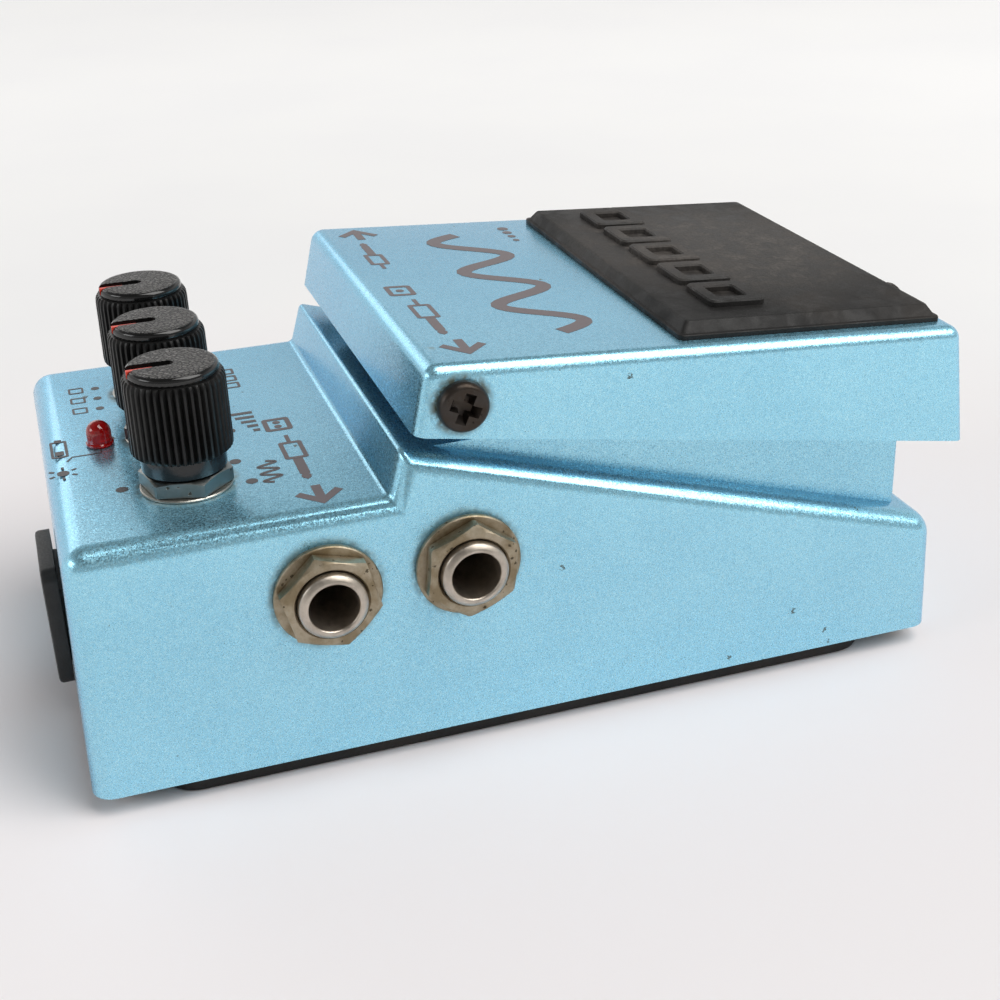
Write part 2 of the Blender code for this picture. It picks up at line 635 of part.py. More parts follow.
def build():
    clear_scene()
    case_shell()
    treadle_shell()
    treadle_pad()
    hinge_parts()
    return_spring()
    footswitch()
    thumbscrew()
    control(("rate", "rate_pot"), -KNOB_X, "grey_plastic")
    control(("depth", "depth_pot"), 0.0, "grey_plastic")
    control(("mode", "mode_switch"), KNOB_X, "grey_plastic")
    led()
    jack("output_a", -1, JACK_A)
    jack("output_b", -1, JACK_B)
    jack("input", 1, JACK_A)
    dc_jack()
    battery()
    boards()
    base()


build()
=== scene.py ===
"""Looks of a compact foot pedal for guitar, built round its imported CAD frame.

Lengths in the tables below are in millimetres in the frame's axes: +X the player's right, +Y away
from the player, +Z up.  Pieces are converted to metres when they are made.
"""
import math

import bmesh
import bpy
from mathutils import Matrix, Vector


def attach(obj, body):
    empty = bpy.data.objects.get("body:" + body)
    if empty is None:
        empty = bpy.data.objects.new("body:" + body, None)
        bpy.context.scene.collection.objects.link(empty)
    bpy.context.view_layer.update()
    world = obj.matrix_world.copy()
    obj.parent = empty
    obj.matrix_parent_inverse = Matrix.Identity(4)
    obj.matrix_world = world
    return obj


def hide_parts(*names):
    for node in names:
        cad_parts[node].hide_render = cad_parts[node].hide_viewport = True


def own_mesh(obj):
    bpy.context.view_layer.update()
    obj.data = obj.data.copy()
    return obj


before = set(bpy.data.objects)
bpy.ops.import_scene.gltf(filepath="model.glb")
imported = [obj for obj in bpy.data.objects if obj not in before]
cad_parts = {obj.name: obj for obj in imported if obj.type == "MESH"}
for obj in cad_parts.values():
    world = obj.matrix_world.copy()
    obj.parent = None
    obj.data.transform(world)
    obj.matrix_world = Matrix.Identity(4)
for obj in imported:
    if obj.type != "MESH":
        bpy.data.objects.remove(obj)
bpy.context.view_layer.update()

MM = 0.001

# ------------------------------------------------------------------ camera
CAMERA_AT = (-203.76, 61.73, 124.99)
CAMERA_AIM = (0.94, -4.17, 18.42)
CAMERA_ROLL = -1.754            # degrees round the line of sight
CAMERA_LENS = 54.19

# ------------------------------------------------------------------ castings
FOOT_H = 3.0
CASE_HALF_W = 34.7
CASE_REAR_Y = 64.5
CASE_FRONT_Y = -61.65
DRAFT = 0.03
PANEL_Z = 38.7
STEP_Y = 21.6
CREST_Y = 19.75
CREST_Z = 45.1
DECK_FRONT_Z = 21.0
WALL = 2.0
BLOCK_HALF_W = 29.2
BLOCK_FRONT_Y = -56.85
BLOCK_FRONT_Z = 45.4
BLOCK_REAR_Z = 52.9
SILL_Z = 43.5
SILL_REAR_Y = 15.2
AXIS_Y = 11.9
AXIS_Z = 51.2
EAR_R = 3.1
TREADLE_HALF_W = 34.1
TREADLE_REAR_TOP = (16.2, 56.6)
TREADLE_REAR_BOTTOM = (18.3, 47.5)
TREADLE_FRONT_BOTTOM = (-64.15, 33.4)
TREADLE_FRONT_TOP = (-62.1, 51.05)
SKIN = 1.7
CASE_ROUND = 3.0
STEP_ROUND = 0.7
TREADLE_ROUND = 1.8
PAD_REAR_Y = -19.8
PAD_FRONT_Y = -60.2
PAD_HALF_W = 31.2

# ------------------------------------------------------------------ fittings
SPRING_Y = -46.5
SPRING_R = 4.7
SPRING_WIRE_R = 0.6
SPRING_TURNS = 5.5
SPRING_SEAT_Z = 34.0
PLUNGER_X = -17.0
PLUNGER_TOP_Z = 48.0
PLUNGER_HOLE_RADIUS = 3.1
PUSHER_RADIUS = 2.1
THUMB_Z = 40.5
THUMB_BOSS_Y = -65.4
THUMB_TRAVEL = 2.2
THUMB_PITCH = 0.7
GUIDE_Z = THUMB_Z - 0.6
GUIDE_HALF = 2.6                # half the straight part of the guide's slot
CLIP_Y = -61.1
KNOBS = {"rate": -17.9, "depth": 0.0, "mode": 17.9}
KNOB_Y = 45.7
KNOB_TOP_Z = 56.12
FLUTES = 44
LED_Y = 55.5
JACK_END_X = 38.3
JACK_A = (11.9, 28.2)
JACK_B = (31.1, 27.4)
DC_Z = 14.4
DC_HALF_W = 8.0
DC_HALF_H = 9.4
BAY_Y = (-40.0, -8.4)
BAY_HALF_W = 27.0
BAY_FLOOR_Z = 30.0
SCREW_X = 30.0
SCREW_Y = (60.0, -57.6)


# ================================================================== mesh tools

def make(name, bm, material, body, replaces=(), smooth=35.0):
    """Turn a bmesh in millimetres into a piece that rides on a body."""
    bmesh.ops.recalc_face_normals(bm, faces=bm.faces)
    bmesh.ops.scale(bm, vec=(MM, MM, MM), verts=bm.verts)
    mesh = bpy.data.meshes.new(name)
    bm.to_mesh(mesh)
    bm.free()
    obj = bpy.data.objects.new(name, mesh)
    bpy.context.scene.collection.objects.link(obj)
    mesh.materials.append(material)
    mesh.shade_smooth()
    mesh.set_sharp_from_angle(angle=math.radians(smooth))
    if body:
        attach(obj, body)
    if replaces:
        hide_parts(*replaces)
    return obj


def solid(bm):
    """A hidden helper object for Boolean work, in millimetres."""
    bmesh.ops.recalc_face_normals(bm, faces=bm.faces)
    mesh = bpy.data.meshes.new("helper")
    bm.to_mesh(mesh)
    bm.free()
    obj = bpy.data.objects.new("helper", mesh)
    bpy.context.scene.collection.objects.link(obj)
    return obj


def carve(bm, *steps):
    """Apply Boolean steps ("-", bmesh) or ("+", bmesh) in turn and return the resulting bmesh."""
    base = solid(bm)
    helpers = []
    for sign, other in steps:
        helper = solid(other)
        helpers.append(helper)
        modifier = base.modifiers.new("step", "BOOLEAN")
        modifier.object = helper
        modifier.operation = "DIFFERENCE" if sign == "-" else "UNION"
        modifier.solver = "EXACT"
    bpy.context.view_layer.update()
    evaluated = base.evaluated_get(bpy.context.evaluated_depsgraph_get())
    result = bmesh.new()
    result.from_mesh(evaluated.to_mesh())
    evaluated.to_mesh_clear()
    for obj in [base] + helpers:
        mesh = obj.data
        bpy.data.objects.remove(obj)
        bpy.data.meshes.remove(mesh)
    bmesh.ops.remove_doubles(result, verts=result.verts, dist=0.0005)
    return result


def bridge(bm, rings, closed=True, cap=True):
    """Skin matching rings of points with quads."""
    made = [[bm.verts.new(p) for p in ring] for ring in rings]
    count = len(made[0])
    for lower, upper in zip(made, made[1:]):
        for i in range(count if closed else count - 1):
            j = (i + 1) % count
            bm.faces.new((lower[i], lower[j], upper[j], upper[i]))
    if cap:
        bm.faces.new(made[0])
        bm.faces.new(made[-1])
    return made


def close_loop(bm, made):
    """Join the last of some bridged rings back to the first."""
    first, last = made[0], made[-1]
    count = len(first)
    for i in range(count):
        j = (i + 1) % count
        bm.faces.new((last[i], last[j], first[j], first[i]))


def prism(low, high):
    bm = bmesh.new()
    bridge(bm, [low, high])
    return bm


def box(low, high):
    x0, y0, z0 = low
    x1, y1, z1 = high
    corners = [(x0, y0), (x1, y0), (x1, y1), (x0, y1)]
    return prism([(x, y, z0) for x, y in corners], [(x, y, z1) for x, y in corners])


def circle(radius, sides, turn=0.5):
    step = 2 * math.pi / sides
    return [(radius * math.cos(step * (i + turn)), radius * math.sin(step * (i + turn)))
            for i in range(sides)]


def to_axis(axis, centre, point, t):
    """Place a 2D point at distance t along a named axis."""
    a, b = point
    u, v = centre
    if axis == "Z":
        return (u + a, v + b, t)
    if axis == "Y":
        return (u + a, t, v + b)
    return (t, u + a, v + b)


def along(axis, centre, outline, start, end):
    return prism([to_axis(axis, centre, p, start) for p in outline],
                 [to_axis(axis, centre, p, end) for p in outline])


def rod(axis, centre, radius, start, end, sides=48):
    return along(axis, centre, circle(radius, sides), start, end)


def lathe(axis, centre, profile, sides=64):
    """Turned solid from (radius, t) steps, closed flat at both ends."""
    bm = bmesh.new()
    bridge(bm, [[to_axis(axis, centre, p, t) for p in circle(radius, sides)]
                for radius, t in profile])
    return bm


def ring_lathe(axis, centre, loop, sides=64):
    """Turned ring from a closed loop of (radius, t) points."""
    bm = bmesh.new()
    rings = [[to_axis(axis, centre, p, t) for p in circle(radius, sides)] for radius, t in loop]
    close_loop(bm, bridge(bm, rings, cap=False))
    return bm


def arc(centre, radius, start, end, count):
    points = []
    for i in range(count + 1):
        angle = math.radians(start + (end - start) * i / count)
        points.append((centre[0] + radius * math.cos(angle), centre[1] + radius * math.sin(angle)))
    return points


def rounded_rect(half_a, half_b, radius, steps=6):
    points = []
    for ca, cb, start in ((1, 1, 0), (-1, 1, 90), (-1, -1, 180), (1, -1, 270)):
        corner = (ca * (half_a - radius), cb * (half_b - radius))
        points += arc(corner, radius, start, start + 90, steps)
    return points


def slot_outline(half_width, half_straight, steps=16):
    return (arc((0, half_straight), half_width, 0, 180, steps)
            + arc((0, -half_straight), half_width, 180, 360, steps))


def side_profile(points, half_width):
    left = [(-half_width(z), y, z) for y, z in points]
    right = [(half_width(z), y, z) for y, z in points]
    return prism(left, right)


def bevel(bm, pick, radius, segments):
    bmesh.ops.recalc_face_normals(bm, faces=bm.faces)
    bm.normal_update()
    edges = [e for e in bm.edges if pick(e)]
    bmesh.ops.bevel(bm, geom=edges, offset=radius, segments=segments, affect="EDGES", profile=0.5,
                    clamp_overlap=True)


def sharp(edge, degrees=20.0):
    if len(edge.link_faces) != 2:
        return False
    return edge.calc_face_angle(0.0) > math.radians(degrees)


def extent(edge, axis):
    """How far an edge reaches along X, Y or Z."""
    return abs(edge.verts[0].co[axis] - edge.verts[1].co[axis])


def hex_ring(axis, centre, flats, bore, start, end, chamfer=0.55, turn=0.0, sides=96):
    """Hexagon nut with a bore and chamfered corners on its outer face (at `end`)."""
    sign = 1.0 if end > start else -1.0
    round_r = flats / 2 * 1.005
    rings = []
    outlines = []
    for i in range(sides):
        angle = 2 * math.pi * i / sides
        local = (angle - math.radians(turn)) % math.radians(60) - math.radians(30)
        outlines.append((angle, flats / 2 / math.cos(local)))
    rounding = 0.12

    def ring(pick, t_of):
        out = []
        for angle, reach in outlines:
            radius = pick(reach)
            out.append(to_axis(axis, centre, (radius * math.cos(angle), radius * math.sin(angle)),
                               t_of(reach)))
        return out

    rings.append(ring(lambda r: bore, lambda r: start))
    rings.append(ring(lambda r: r - rounding, lambda r: start))
    rings.append(ring(lambda r: r, lambda r: start + sign * rounding))
    rings.append(ring(lambda r: r, lambda r: end - sign * (0.08 + (r - flats / 2) * chamfer)))
    rings.append(ring(lambda r: min(r, round_r) - 0.1, lambda r: end))
    rings.append(ring(lambda r: bore + 0.25, lambda r: end))
    rings.append(ring(lambda r: bore, lambda r: end - sign * 0.25))
    bm = bmesh.new()
    close_loop(bm, bridge(bm, rings, cap=False))
    return bm


# ================================================================== shader tools

class Nodes:
    """Short hand for building a node material."""

    def __init__(self, name, **constants):
        self.material = bpy.data.materials.new(name)
        self.material.use_nodes = True
        self.tree = self.material.node_tree
        self.shader = self.tree.nodes["Principled BSDF"]
        for key, value in constants.items():
            self.set(self.shader, key.replace("_", " "), value)
        coords = self.add("ShaderNodeTexCoord")
        self.place = self.vector("SCALE", coords.outputs["Object"], scale=1000.0)

    def add(self, kind, **properties):
        node = self.tree.nodes.new(kind)
        for key, value in properties.items():
            setattr(node, key, value)
        return node

    def set(self, node, key, value):
        socket = node.inputs[key]
        if isinstance(value, bpy.types.NodeSocket):
            self.tree.links.new(value, socket)
        elif socket.type == "RGBA" and len(value) == 3:
            socket.default_value = (*value, 1.0)
        else:
            socket.default_value = value

    def vector(self, operation, a, b=None, scale=None):
        node = self.add("ShaderNodeVectorMath", operation=operation)
        self.set(node, 0, a)
        if b is not None:
            self.set(node, 1, b)
        if scale is not None:
            self.set(node, "Scale", scale)
        return node.outputs["Value" if operation in {"DISTANCE", "LENGTH"} else "Vector"]

    def channels(self, color):
        node = self.add("ShaderNodeSeparateColor")
        self.set(node, "Color", color)
        return node.outputs

    def axes(self):
        node = self.add("ShaderNodeSeparateXYZ")
        self.set(node, "Vector", self.place)
        return node.outputs

    def math(self, operation, a, b=0.0, clamp=False):
        node = self.add("ShaderNodeMath", operation=operation, use_clamp=clamp)
        self.set(node, 0, a)
        self.set(node, 1, b)
        return node.outputs[0]

    def noise(self, size, detail=3.0, roughness=0.55, place=None, distortion=0.0):
        node = self.add("ShaderNodeTexNoise")
        self.set(node, "Vector", self.place if place is None else place)
        self.set(node, "Scale", 1.0 / size)
        self.set(node, "Detail", detail)
        self.set(node, "Roughness", roughness)
        self.set(node, "Distortion", distortion)
        return node.outputs["Fac"]

    def noise_color(self, size):
        node = self.add("ShaderNodeTexNoise")
        self.set(node, "Vector", self.place)
        self.set(node, "Scale", 1.0 / size)
        return node.outputs["Color"]

    def cells(self, size, feature="F1", place=None):
        node = self.add("ShaderNodeTexVoronoi", feature=feature)
        self.set(node, "Vector", self.place if place is None else place)
        self.set(node, "Scale", 1.0 / size)
        return node

    def span(self, value, low, high, to_low=0.0, to_high=1.0, smooth=True):
        """Map value from low..high to to_low..to_high, clamped."""
        node = self.add("ShaderNodeMapRange", clamp=True)
        node.interpolation_type = "SMOOTHSTEP" if smooth else "LINEAR"
        self.set(node, "Value", value)
        self.set(node, "From Min", low)
        self.set(node, "From Max", high)
        self.set(node, "To Min", to_low)
        self.set(node, "To Max", to_high)
        return node.outputs["Result"]

    def mix(self, share, a, b):
        node = self.add("ShaderNodeMix", data_type="RGBA")
        self.set(node, 0, share)
        self.set(node, 6, a)
        self.set(node, 7, b)
        return node.outputs[2]

    def lerp(self, share, a, b):
        node = self.add("ShaderNodeMix", data_type="FLOAT")
        self.set(node, 0, share)
        self.set(node, 2, a)
        self.set(node, 3, b)
        return node.outputs[0]

    def bump(self, height, distance, normal=None):
        """Bump from a height in 0..1 that stands for `distance` millimetres."""
        node = self.add("ShaderNodeBump")
        self.set(node, "Height", height)
        self.set(node, "Distance", distance * MM)
        if normal is not None:
            self.set(node, "Normal", normal)
        return node.outputs["Normal"]

    def output(self, **links):
        for key, value in links.items():
            self.set(self.shader, key.replace("_", " "), value)
        return self.material

    def near(self, point, radius, soft):
        """1 within radius of a point, falling to 0 over the next `soft` millimetres."""
        distance = self.vector("DISTANCE", self.place, point)
        return self.span(distance, radius, radius + soft, 1.0, 0.0)


def paint(name, stains, seed):
    """Light blue flake paint under clear coat, with dust, dings and stains round the fittings."""
    m = Nodes(name, Coat_Weight=0.80, Coat_Roughness=0.16,
              Specular_Tint=(0.35, 0.58, 0.80), Coat_IOR=1.5, IOR=1.45)
    shifted = m.vector("ADD", m.place, (seed, seed * 2.3, seed * 0.7))
    flake = m.cells(0.165, place=shifted)
    tilt = m.vector("SUBTRACT", flake.outputs["Color"], (0.5, 0.5, 0.5))
    surface = m.add("ShaderNodeNewGeometry").outputs["Normal"]
    split = m.channels(flake.outputs["Color"])
    tilted = m.vector("NORMALIZE", m.vector("ADD", surface, m.vector("SCALE", tilt, scale=0.10)))
    cloud = m.noise(16.0, 4.0, 0.55, shifted)
    fine = m.noise(0.9, 3.0, 0.6, shifted)
    metal = m.span(split["Green"], 0.0, 0.8, 0.62, 0.92)
    base = m.mix(m.span(cloud, 0.3, 0.7), (0.294, 0.650, 0.836), (0.324, 0.690, 0.870))
    spark = m.math("MULTIPLY", m.math("POWER", split["Red"], 2.5), 0.50)
    base = m.mix(spark, base, (0.54, 0.88, 0.97))
    base = m.mix(m.span(split["Green"], 0.0, 0.45, 0.20, 0.0), base, (0.105, 0.43, 0.74))
    base = m.mix(m.span(fine, 0.45, 0.9, 0.0, 0.30), base, (0.155, 0.40, 0.55))

    # small chips and dark specks
    speck = m.cells(5.2, place=m.vector("ADD", shifted, (3.1, 1.7, 9.0)))
    size = m.span(m.channels(speck.outputs["Color"])["Green"], 0.55, 1.0, 0.0, 0.085, smooth=False)
    rim = m.span(m.noise(0.34, 3.0), 0.25, 0.75, -0.06, 0.06)
    ragged = m.math("ADD", speck.outputs["Distance"], rim)
    chip = m.math("LESS_THAN", ragged, size)
    # short scratches, thin and stretched one way
    stretched = m.vector("MULTIPLY", shifted, (1.0, 0.22, 1.0))
    streak = m.cells(2.6, "DISTANCE_TO_EDGE", place=stretched)
    gate = m.span(m.noise(9.0, 2.0, 0.5, shifted), 0.72, 0.78)
    thin = m.math("LESS_THAN", streak.outputs["Distance"], 0.010)
    scratch = m.math("MULTIPLY", thin, gate)
    wear = m.math("MAXIMUM", m.math("MULTIPLY", chip, 0.85), m.math("MULTIPLY", scratch, 0.35))

    grime = None
    breakup = m.span(m.noise(1.3, 4.0, 0.65, shifted), 0.30, 0.62)
    for point, radius, soft, amount in stains:
        mask = m.math("MULTIPLY", m.near(point, radius, soft), amount)
        grime = mask if grime is None else m.math("MAXIMUM", grime, mask)
    grime = m.math("MULTIPLY", grime, breakup)
    base = m.mix(wear, base, (0.060, 0.075, 0.055))
    base = m.mix(grime, base, (0.105, 0.105, 0.060))
    dull = m.math("MAXIMUM", wear, grime)
    rough = m.lerp(dull, m.span(split["Blue"], 0.0, 1.0, 0.24, 0.36), 0.75)
    peel = m.bump(m.noise(2.6, 2.0, 0.5, shifted), 0.003)
    pitted = m.bump(m.math("SUBTRACT", 1.0, wear), 0.05, normal=tilted)
    metal = m.math("MULTIPLY", metal, m.math("SUBTRACT", 1.0, dull, clamp=True))
    return m.output(Base_Color=base, Metallic=metal, Roughness=rough, Normal=pitted,
                    Coat_Normal=peel)


def rubber(name, dark, dusty, dust_scale=7.0, worn_at=None):
    """Rubber with a fine grain and pale rubbed dust, all over or only round one spot."""
    m = Nodes(name, Specular_IOR_Level=0.36)
    cloud = m.noise(dust_scale, 6.0, 0.62, distortion=0.6)
    fine = m.noise(0.55, 3.0, 0.65)
    grain = m.noise(0.16, 2.0, 0.6)
    share = m.math("MULTIPLY", m.span(cloud, 0.36, 0.70, 0.25, 1.0),
                   m.span(fine, 0.25, 0.75, 0.45, 1.0))
    if worn_at:
        share = m.math("MULTIPLY", share, m.near(worn_at, 10.0, 24.0))
    base = m.mix(share, dark, dusty)
    brown = m.span(m.noise(13.0, 3.0, 0.5), 0.48, 0.66, 0.0, 0.12)
    base = m.mix(brown, base, (0.085, 0.064, 0.048))
    rough = m.span(cloud, 0.3, 0.7, 0.50, 0.72)
    height = m.math("ADD", m.math("MULTIPLY", fine, 0.6), m.math("MULTIPLY", grain, 0.4))
    return m.output(Base_Color=base, Roughness=rough, Normal=m.bump(height, 0.07))


def moulded(name, color, roughness, grain=0.35, depth=0.015, specular=0.5, dust=0.0):
    """Moulded plastic with a soft grain, slight shade change and optional dust."""
    m = Nodes(name, Specular_IOR_Level=specular)
    cloud = m.noise(5.0, 3.0, 0.5)
    fine = m.noise(grain, 2.0, 0.6)
    light = tuple(min(1.0, c * 1.35 + 0.004) for c in color)
    base = m.mix(m.span(cloud, 0.3, 0.7), color, light)
    if dust:
        base = m.mix(m.span(m.noise(1.1, 5.0, 0.7), 0.55, 0.8, 0.0, dust), base, (0.22, 0.20, 0.17))
    rough = m.span(fine, 0.2, 0.8, roughness * 0.85, min(1.0, roughness * 1.2))
    return m.output(Base_Color=base, Roughness=rough, Normal=m.bump(fine, depth))


def wrinkled(name):
    """Black plastic with a leather-like moulded texture; on the top face its raised grain is
    painted lighter grey as a painted highlight.
    """
    m = Nodes(name, Specular_IOR_Level=0.5)
    bent = m.vector("ADD", m.place, m.vector("SCALE", m.noise_color(0.8), scale=0.35))
    ridge = m.cells(0.52, "DISTANCE_TO_EDGE", place=m.vector("MULTIPLY", bent, (1.0, 0.8, 0.3)))
    swell = m.noise(0.33, 2.0, 0.55)
    grain_lump_and_highlight = m.span(ridge.outputs["Distance"], 0.02, 0.30)
    height = m.math("ADD", m.math("MULTIPLY", grain_lump_and_highlight, 0.7), m.math("MULTIPLY", swell, 0.3))
    flat = m.span(m.axes()["Z"], KNOB_TOP_Z - 0.12, KNOB_TOP_Z - 0.03)
    # painted highlight: the raised grain on the top face is painted lighter grey than the black
    # plastic
    base = m.mix(m.math("MULTIPLY", grain_lump_and_highlight, flat), (0.008, 0.008, 0.008), (0.135, 0.130, 0.124))
    rough = m.lerp(flat, 0.12, m.span(swell, 0.3, 0.7, 0.32, 0.44))
    normal = m.bump(m.math("MULTIPLY", height, flat), 0.34)
    return m.output(Base_Color=base, Roughness=rough, Normal=normal)


def worn_metal(name, color, dirt, roughness, amount=0.5, metallic=1.0, pit=0.55, depth=0.03):
    """Plated metal with stains, pits and a fine grain."""
    m = Nodes(name, Metallic=metallic)
    cloud = m.noise(3.2, 5.0, 0.62)
    fine = m.noise(0.35, 4.0, 0.7)
    share = m.math("MULTIPLY", m.span(cloud, 0.34, 0.66), amount)
    base = m.mix(share, color, dirt)
    spots = m.cells(0.95)
    spot_size = m.span(m.channels(spots.outputs["Color"])["Blue"], 1.0 - pit, 1.0, 0.0, 0.30,
                       smooth=False)
    ragged = m.math("ADD", spots.outputs["Distance"], m.span(fine, 0.25, 0.75, -0.12, 0.12))
    pits = m.math("LESS_THAN", ragged, spot_size)
    dark = tuple(c * 0.32 for c in dirt)
    base = m.mix(m.math("MULTIPLY", pits, 0.75), base, dark)
    rough = m.lerp(pits, m.span(fine, 0.2, 0.8, roughness * 0.8, roughness * 1.35), 0.8)
    height = m.math("SUBTRACT", m.math("MULTIPLY", fine, 0.5), m.math("MULTIPLY", pits, 0.5))
    return m.output(Base_Color=base, Roughness=rough, Normal=m.bump(height, depth))


def ink(name, color):
    """Screen-printed ink, slightly uneven."""
    m = Nodes(name, Specular_IOR_Level=0.45, Coat_Weight=0.35, Coat_Roughness=0.15)
    fine = m.noise(0.35, 3.0, 0.6)
    light = tuple(min(1.0, c * 1.28) for c in color)
    base = m.mix(m.span(fine, 0.3, 0.75), color, light)
    return m.output(Base_Color=base, Roughness=m.span(fine, 0.2, 0.8, 0.35, 0.5))


def lamp_red(name):
    m = Nodes(name, Transmission_Weight=0.45, Coat_Weight=0.6, Coat_Roughness=0.04, IOR=1.5,
              Emission_Color=(1.0, 0.02, 0.01), Emission_Strength=0.02)
    swirl = m.noise(1.2, 2.0, 0.5)
    base = m.mix(m.span(swirl, 0.3, 0.7), (0.36, 0.003, 0.004), (0.55, 0.008, 0.008))
    return m.output(Base_Color=base, Roughness=m.span(swirl, 0.2, 0.8, 0.06, 0.14))


def circuit_board(name):
    """Green solder mask with copper tracks and pads under it."""
    m = Nodes(name, Specular_IOR_Level=0.5, Coat_Weight=0.5, Coat_Roughness=0.2)
    grid = m.vector("MULTIPLY", m.place, (1.0, 1.0, 0.0))
    tracks = m.cells(5.0, "DISTANCE_TO_EDGE", place=grid)
    track = m.math("LESS_THAN", tracks.outputs["Distance"], 0.10)
    pads = m.cells(2.54, place=grid)
    pad = m.math("LESS_THAN", pads.outputs["Distance"], 0.16)
    base = m.mix(m.span(m.noise(9.0), 0.3, 0.7), (0.035, 0.10, 0.028), (0.05, 0.13, 0.035))
    base = m.mix(m.math("MULTIPLY", track, 0.7), base, (0.10, 0.22, 0.06))
    base = m.mix(pad, base, (0.55, 0.53, 0.48))
    return m.output(Base_Color=base, Roughness=m.span(m.noise(0.6), 0.2, 0.8, 0.35, 0.5),
                    Metallic=m.math("MULTIPLY", pad, 0.9), Normal=m.bump(track, 0.03))


def jacket(name):
    """Printed battery jacket: dark body with a lighter band round one end."""
    m = Nodes(name, Metallic=0.35, Coat_Weight=0.4, Coat_Roughness=0.12)
    across = m.axes()["X"]
    band = m.math("GREATER_THAN", across, 6.0)
    line = m.math("LESS_THAN", m.math("ABSOLUTE", m.math("SUBTRACT", across, 4.4)), 0.7)
    scuff = m.noise(1.8, 5.0, 0.7)
    base = m.mix(band, (0.035, 0.042, 0.060), (0.46, 0.30, 0.09))
    base = m.mix(line, base, (0.62, 0.62, 0.60))
    base = m.mix(m.span(scuff, 0.62, 0.72, 0.0, 0.5), base, (0.30, 0.29, 0.27))
    return m.output(Base_Color=base, Roughness=m.span(scuff, 0.3, 0.7, 0.28, 0.45),
                    Normal=m.bump(scuff, 0.02))


def brushed(name, color, roughness):
    m = Nodes(name, Metallic=1.0)
    lines = m.noise(0.5, 4.0, 0.65, m.vector("MULTIPLY", m.place, (1.0, 0.08, 1.0)))
    cloud = m.noise(12.0, 4.0, 0.6)
    dark = tuple(c * 0.72 for c in color)
    base = m.mix(m.span(cloud, 0.3, 0.7), dark, color)
    rough = m.span(lines, 0.2, 0.8, roughness * 0.8, roughness * 1.3)
    return m.output(Base_Color=base, Roughness=rough, Normal=m.bump(lines, 0.01))


def fibre(name):
    m = Nodes(name, Specular_IOR_Level=0.25)
    strands = m.noise(0.8, 6.0, 0.7, m.vector("MULTIPLY", m.place, (1.0, 0.3, 1.0)), 1.0)
    base = m.mix(m.span(strands, 0.3, 0.7), (0.30, 0.24, 0.15), (0.45, 0.37, 0.25))
    return m.output(Base_Color=base, Roughness=0.85, Normal=m.bump(strands, 0.05))


# place, radius, soft edge and strength of each stain
SIDE_X = -34.0
CASE_STAINS = [
    ((SIDE_X, JACK_A[0], JACK_A[1]), 7.1, 1.3, 0.55),
    ((SIDE_X, JACK_B[0], JACK_B[1]), 7.1, 1.4, 0.60),
    ((-SIDE_X, JACK_A[0], JACK_A[1]), 7.1, 1.3, 0.55),
]
CASE_STAINS += [((x, KNOB_Y, PANEL_Z), 6.3, 1.2, 0.7) for x in KNOBS.values()]
TREADLE_STAINS = [
    ((SIDE_X, AXIS_Y, AXIS_Z), 3.3, 1.5, 0.95),
    ((-SIDE_X, AXIS_Y, AXIS_Z), 3.3, 1.5, 0.95),
    ((-27.0, 13.6, 56.2), 0.35, 0.5, 1.0),
]
CASE_PAINT = paint("case_paint", CASE_STAINS, 2.0)
TREADLE_PAINT = paint("treadle_paint", TREADLE_STAINS, 31.0)
PAD_RUBBER = rubber("pad_rubber", (0.0085, 0.0082, 0.0080), (0.115, 0.104, 0.095), 3.6,
                    (4.0, -42.0, 54.5))
MAT_RUBBER = rubber("mat_rubber", (0.006, 0.006, 0.006), (0.020, 0.019, 0.018), 12.0)
KNOB_BLACK = moulded("knob_black", (0.0042, 0.0042, 0.0042), 0.34, specular=0.28, dust=0.04)
KNOB_TOP = wrinkled("knob_top")
NECK_BLACK = moulded("neck_black", (0.008, 0.009, 0.010), 0.16, depth=0.004, dust=0.05)
SOCKET_BLACK = moulded("socket_black", (0.010, 0.010, 0.010), 0.5)
CHIP_BLACK = moulded("chip_black", (0.012, 0.012, 0.013), 0.6, 0.2, 0.03)
GREY_PLASTIC = moulded("grey_plastic", (0.15, 0.15, 0.16), 0.5)
NYLON = moulded("nylon_white", (0.62, 0.60, 0.53), 0.45, specular=0.4)
SLEEVE = moulded("capacitor_blue", (0.015, 0.035, 0.12), 0.3)
POINTER_RED = ink("pointer_red", (0.62, 0.045, 0.020))
PRINT_GREY = ink("print_grey", (0.092, 0.068, 0.074))
PRINT_DARK = ink("print_dark", (0.052, 0.045, 0.050))
NICKEL = worn_metal("aged_nickel", (0.42, 0.365, 0.275), (0.215, 0.165, 0.095), 0.44, 0.85)
BARREL = worn_metal("aged_barrel", (0.56, 0.50, 0.43), (0.30, 0.265, 0.22), 0.36, 0.6, pit=0.0,
                    depth=0.012)
ZINC = worn_metal("dull_zinc", (0.27, 0.29, 0.285), (0.17, 0.17, 0.13), 0.36, 0.4, pit=0.25)
BLACK_STEEL = worn_metal("black_screw", (0.050, 0.044, 0.040), (0.040, 0.028, 0.019), 0.36, 0.7,
                         0.85)
SPRING_STEEL = brushed("spring_steel", (0.50, 0.50, 0.49), 0.26)
PLATED = brushed("plated_steel", (0.58, 0.57, 0.52), 0.36)
LAMP = lamp_red("lamp_red")
BOARD = circuit_board("circuit_board")
JACKET = jacket("battery_jacket")
FIBRE = fibre("fibre_sheet")


# ================================================================== castings

def case_half_width(z):
    return CASE_HALF_W - DRAFT * (z - FOOT_H)


def deck_z(y):
    slope = (CREST_Z - DECK_FRONT_Z) / (CREST_Y - CASE_FRONT_Y - 0.55)
    return CREST_Z - slope * (CREST_Y - y)


def treadle_half_width(z):
    return TREADLE_HALF_W + DRAFT * (54.0 - z)


def treadle_top(y):
    (y0, z0), (y1, z1) = TREADLE_REAR_TOP, TREADLE_FRONT_TOP
    return z0 + (y - y0) * (z1 - z0) / (y1 - y0)


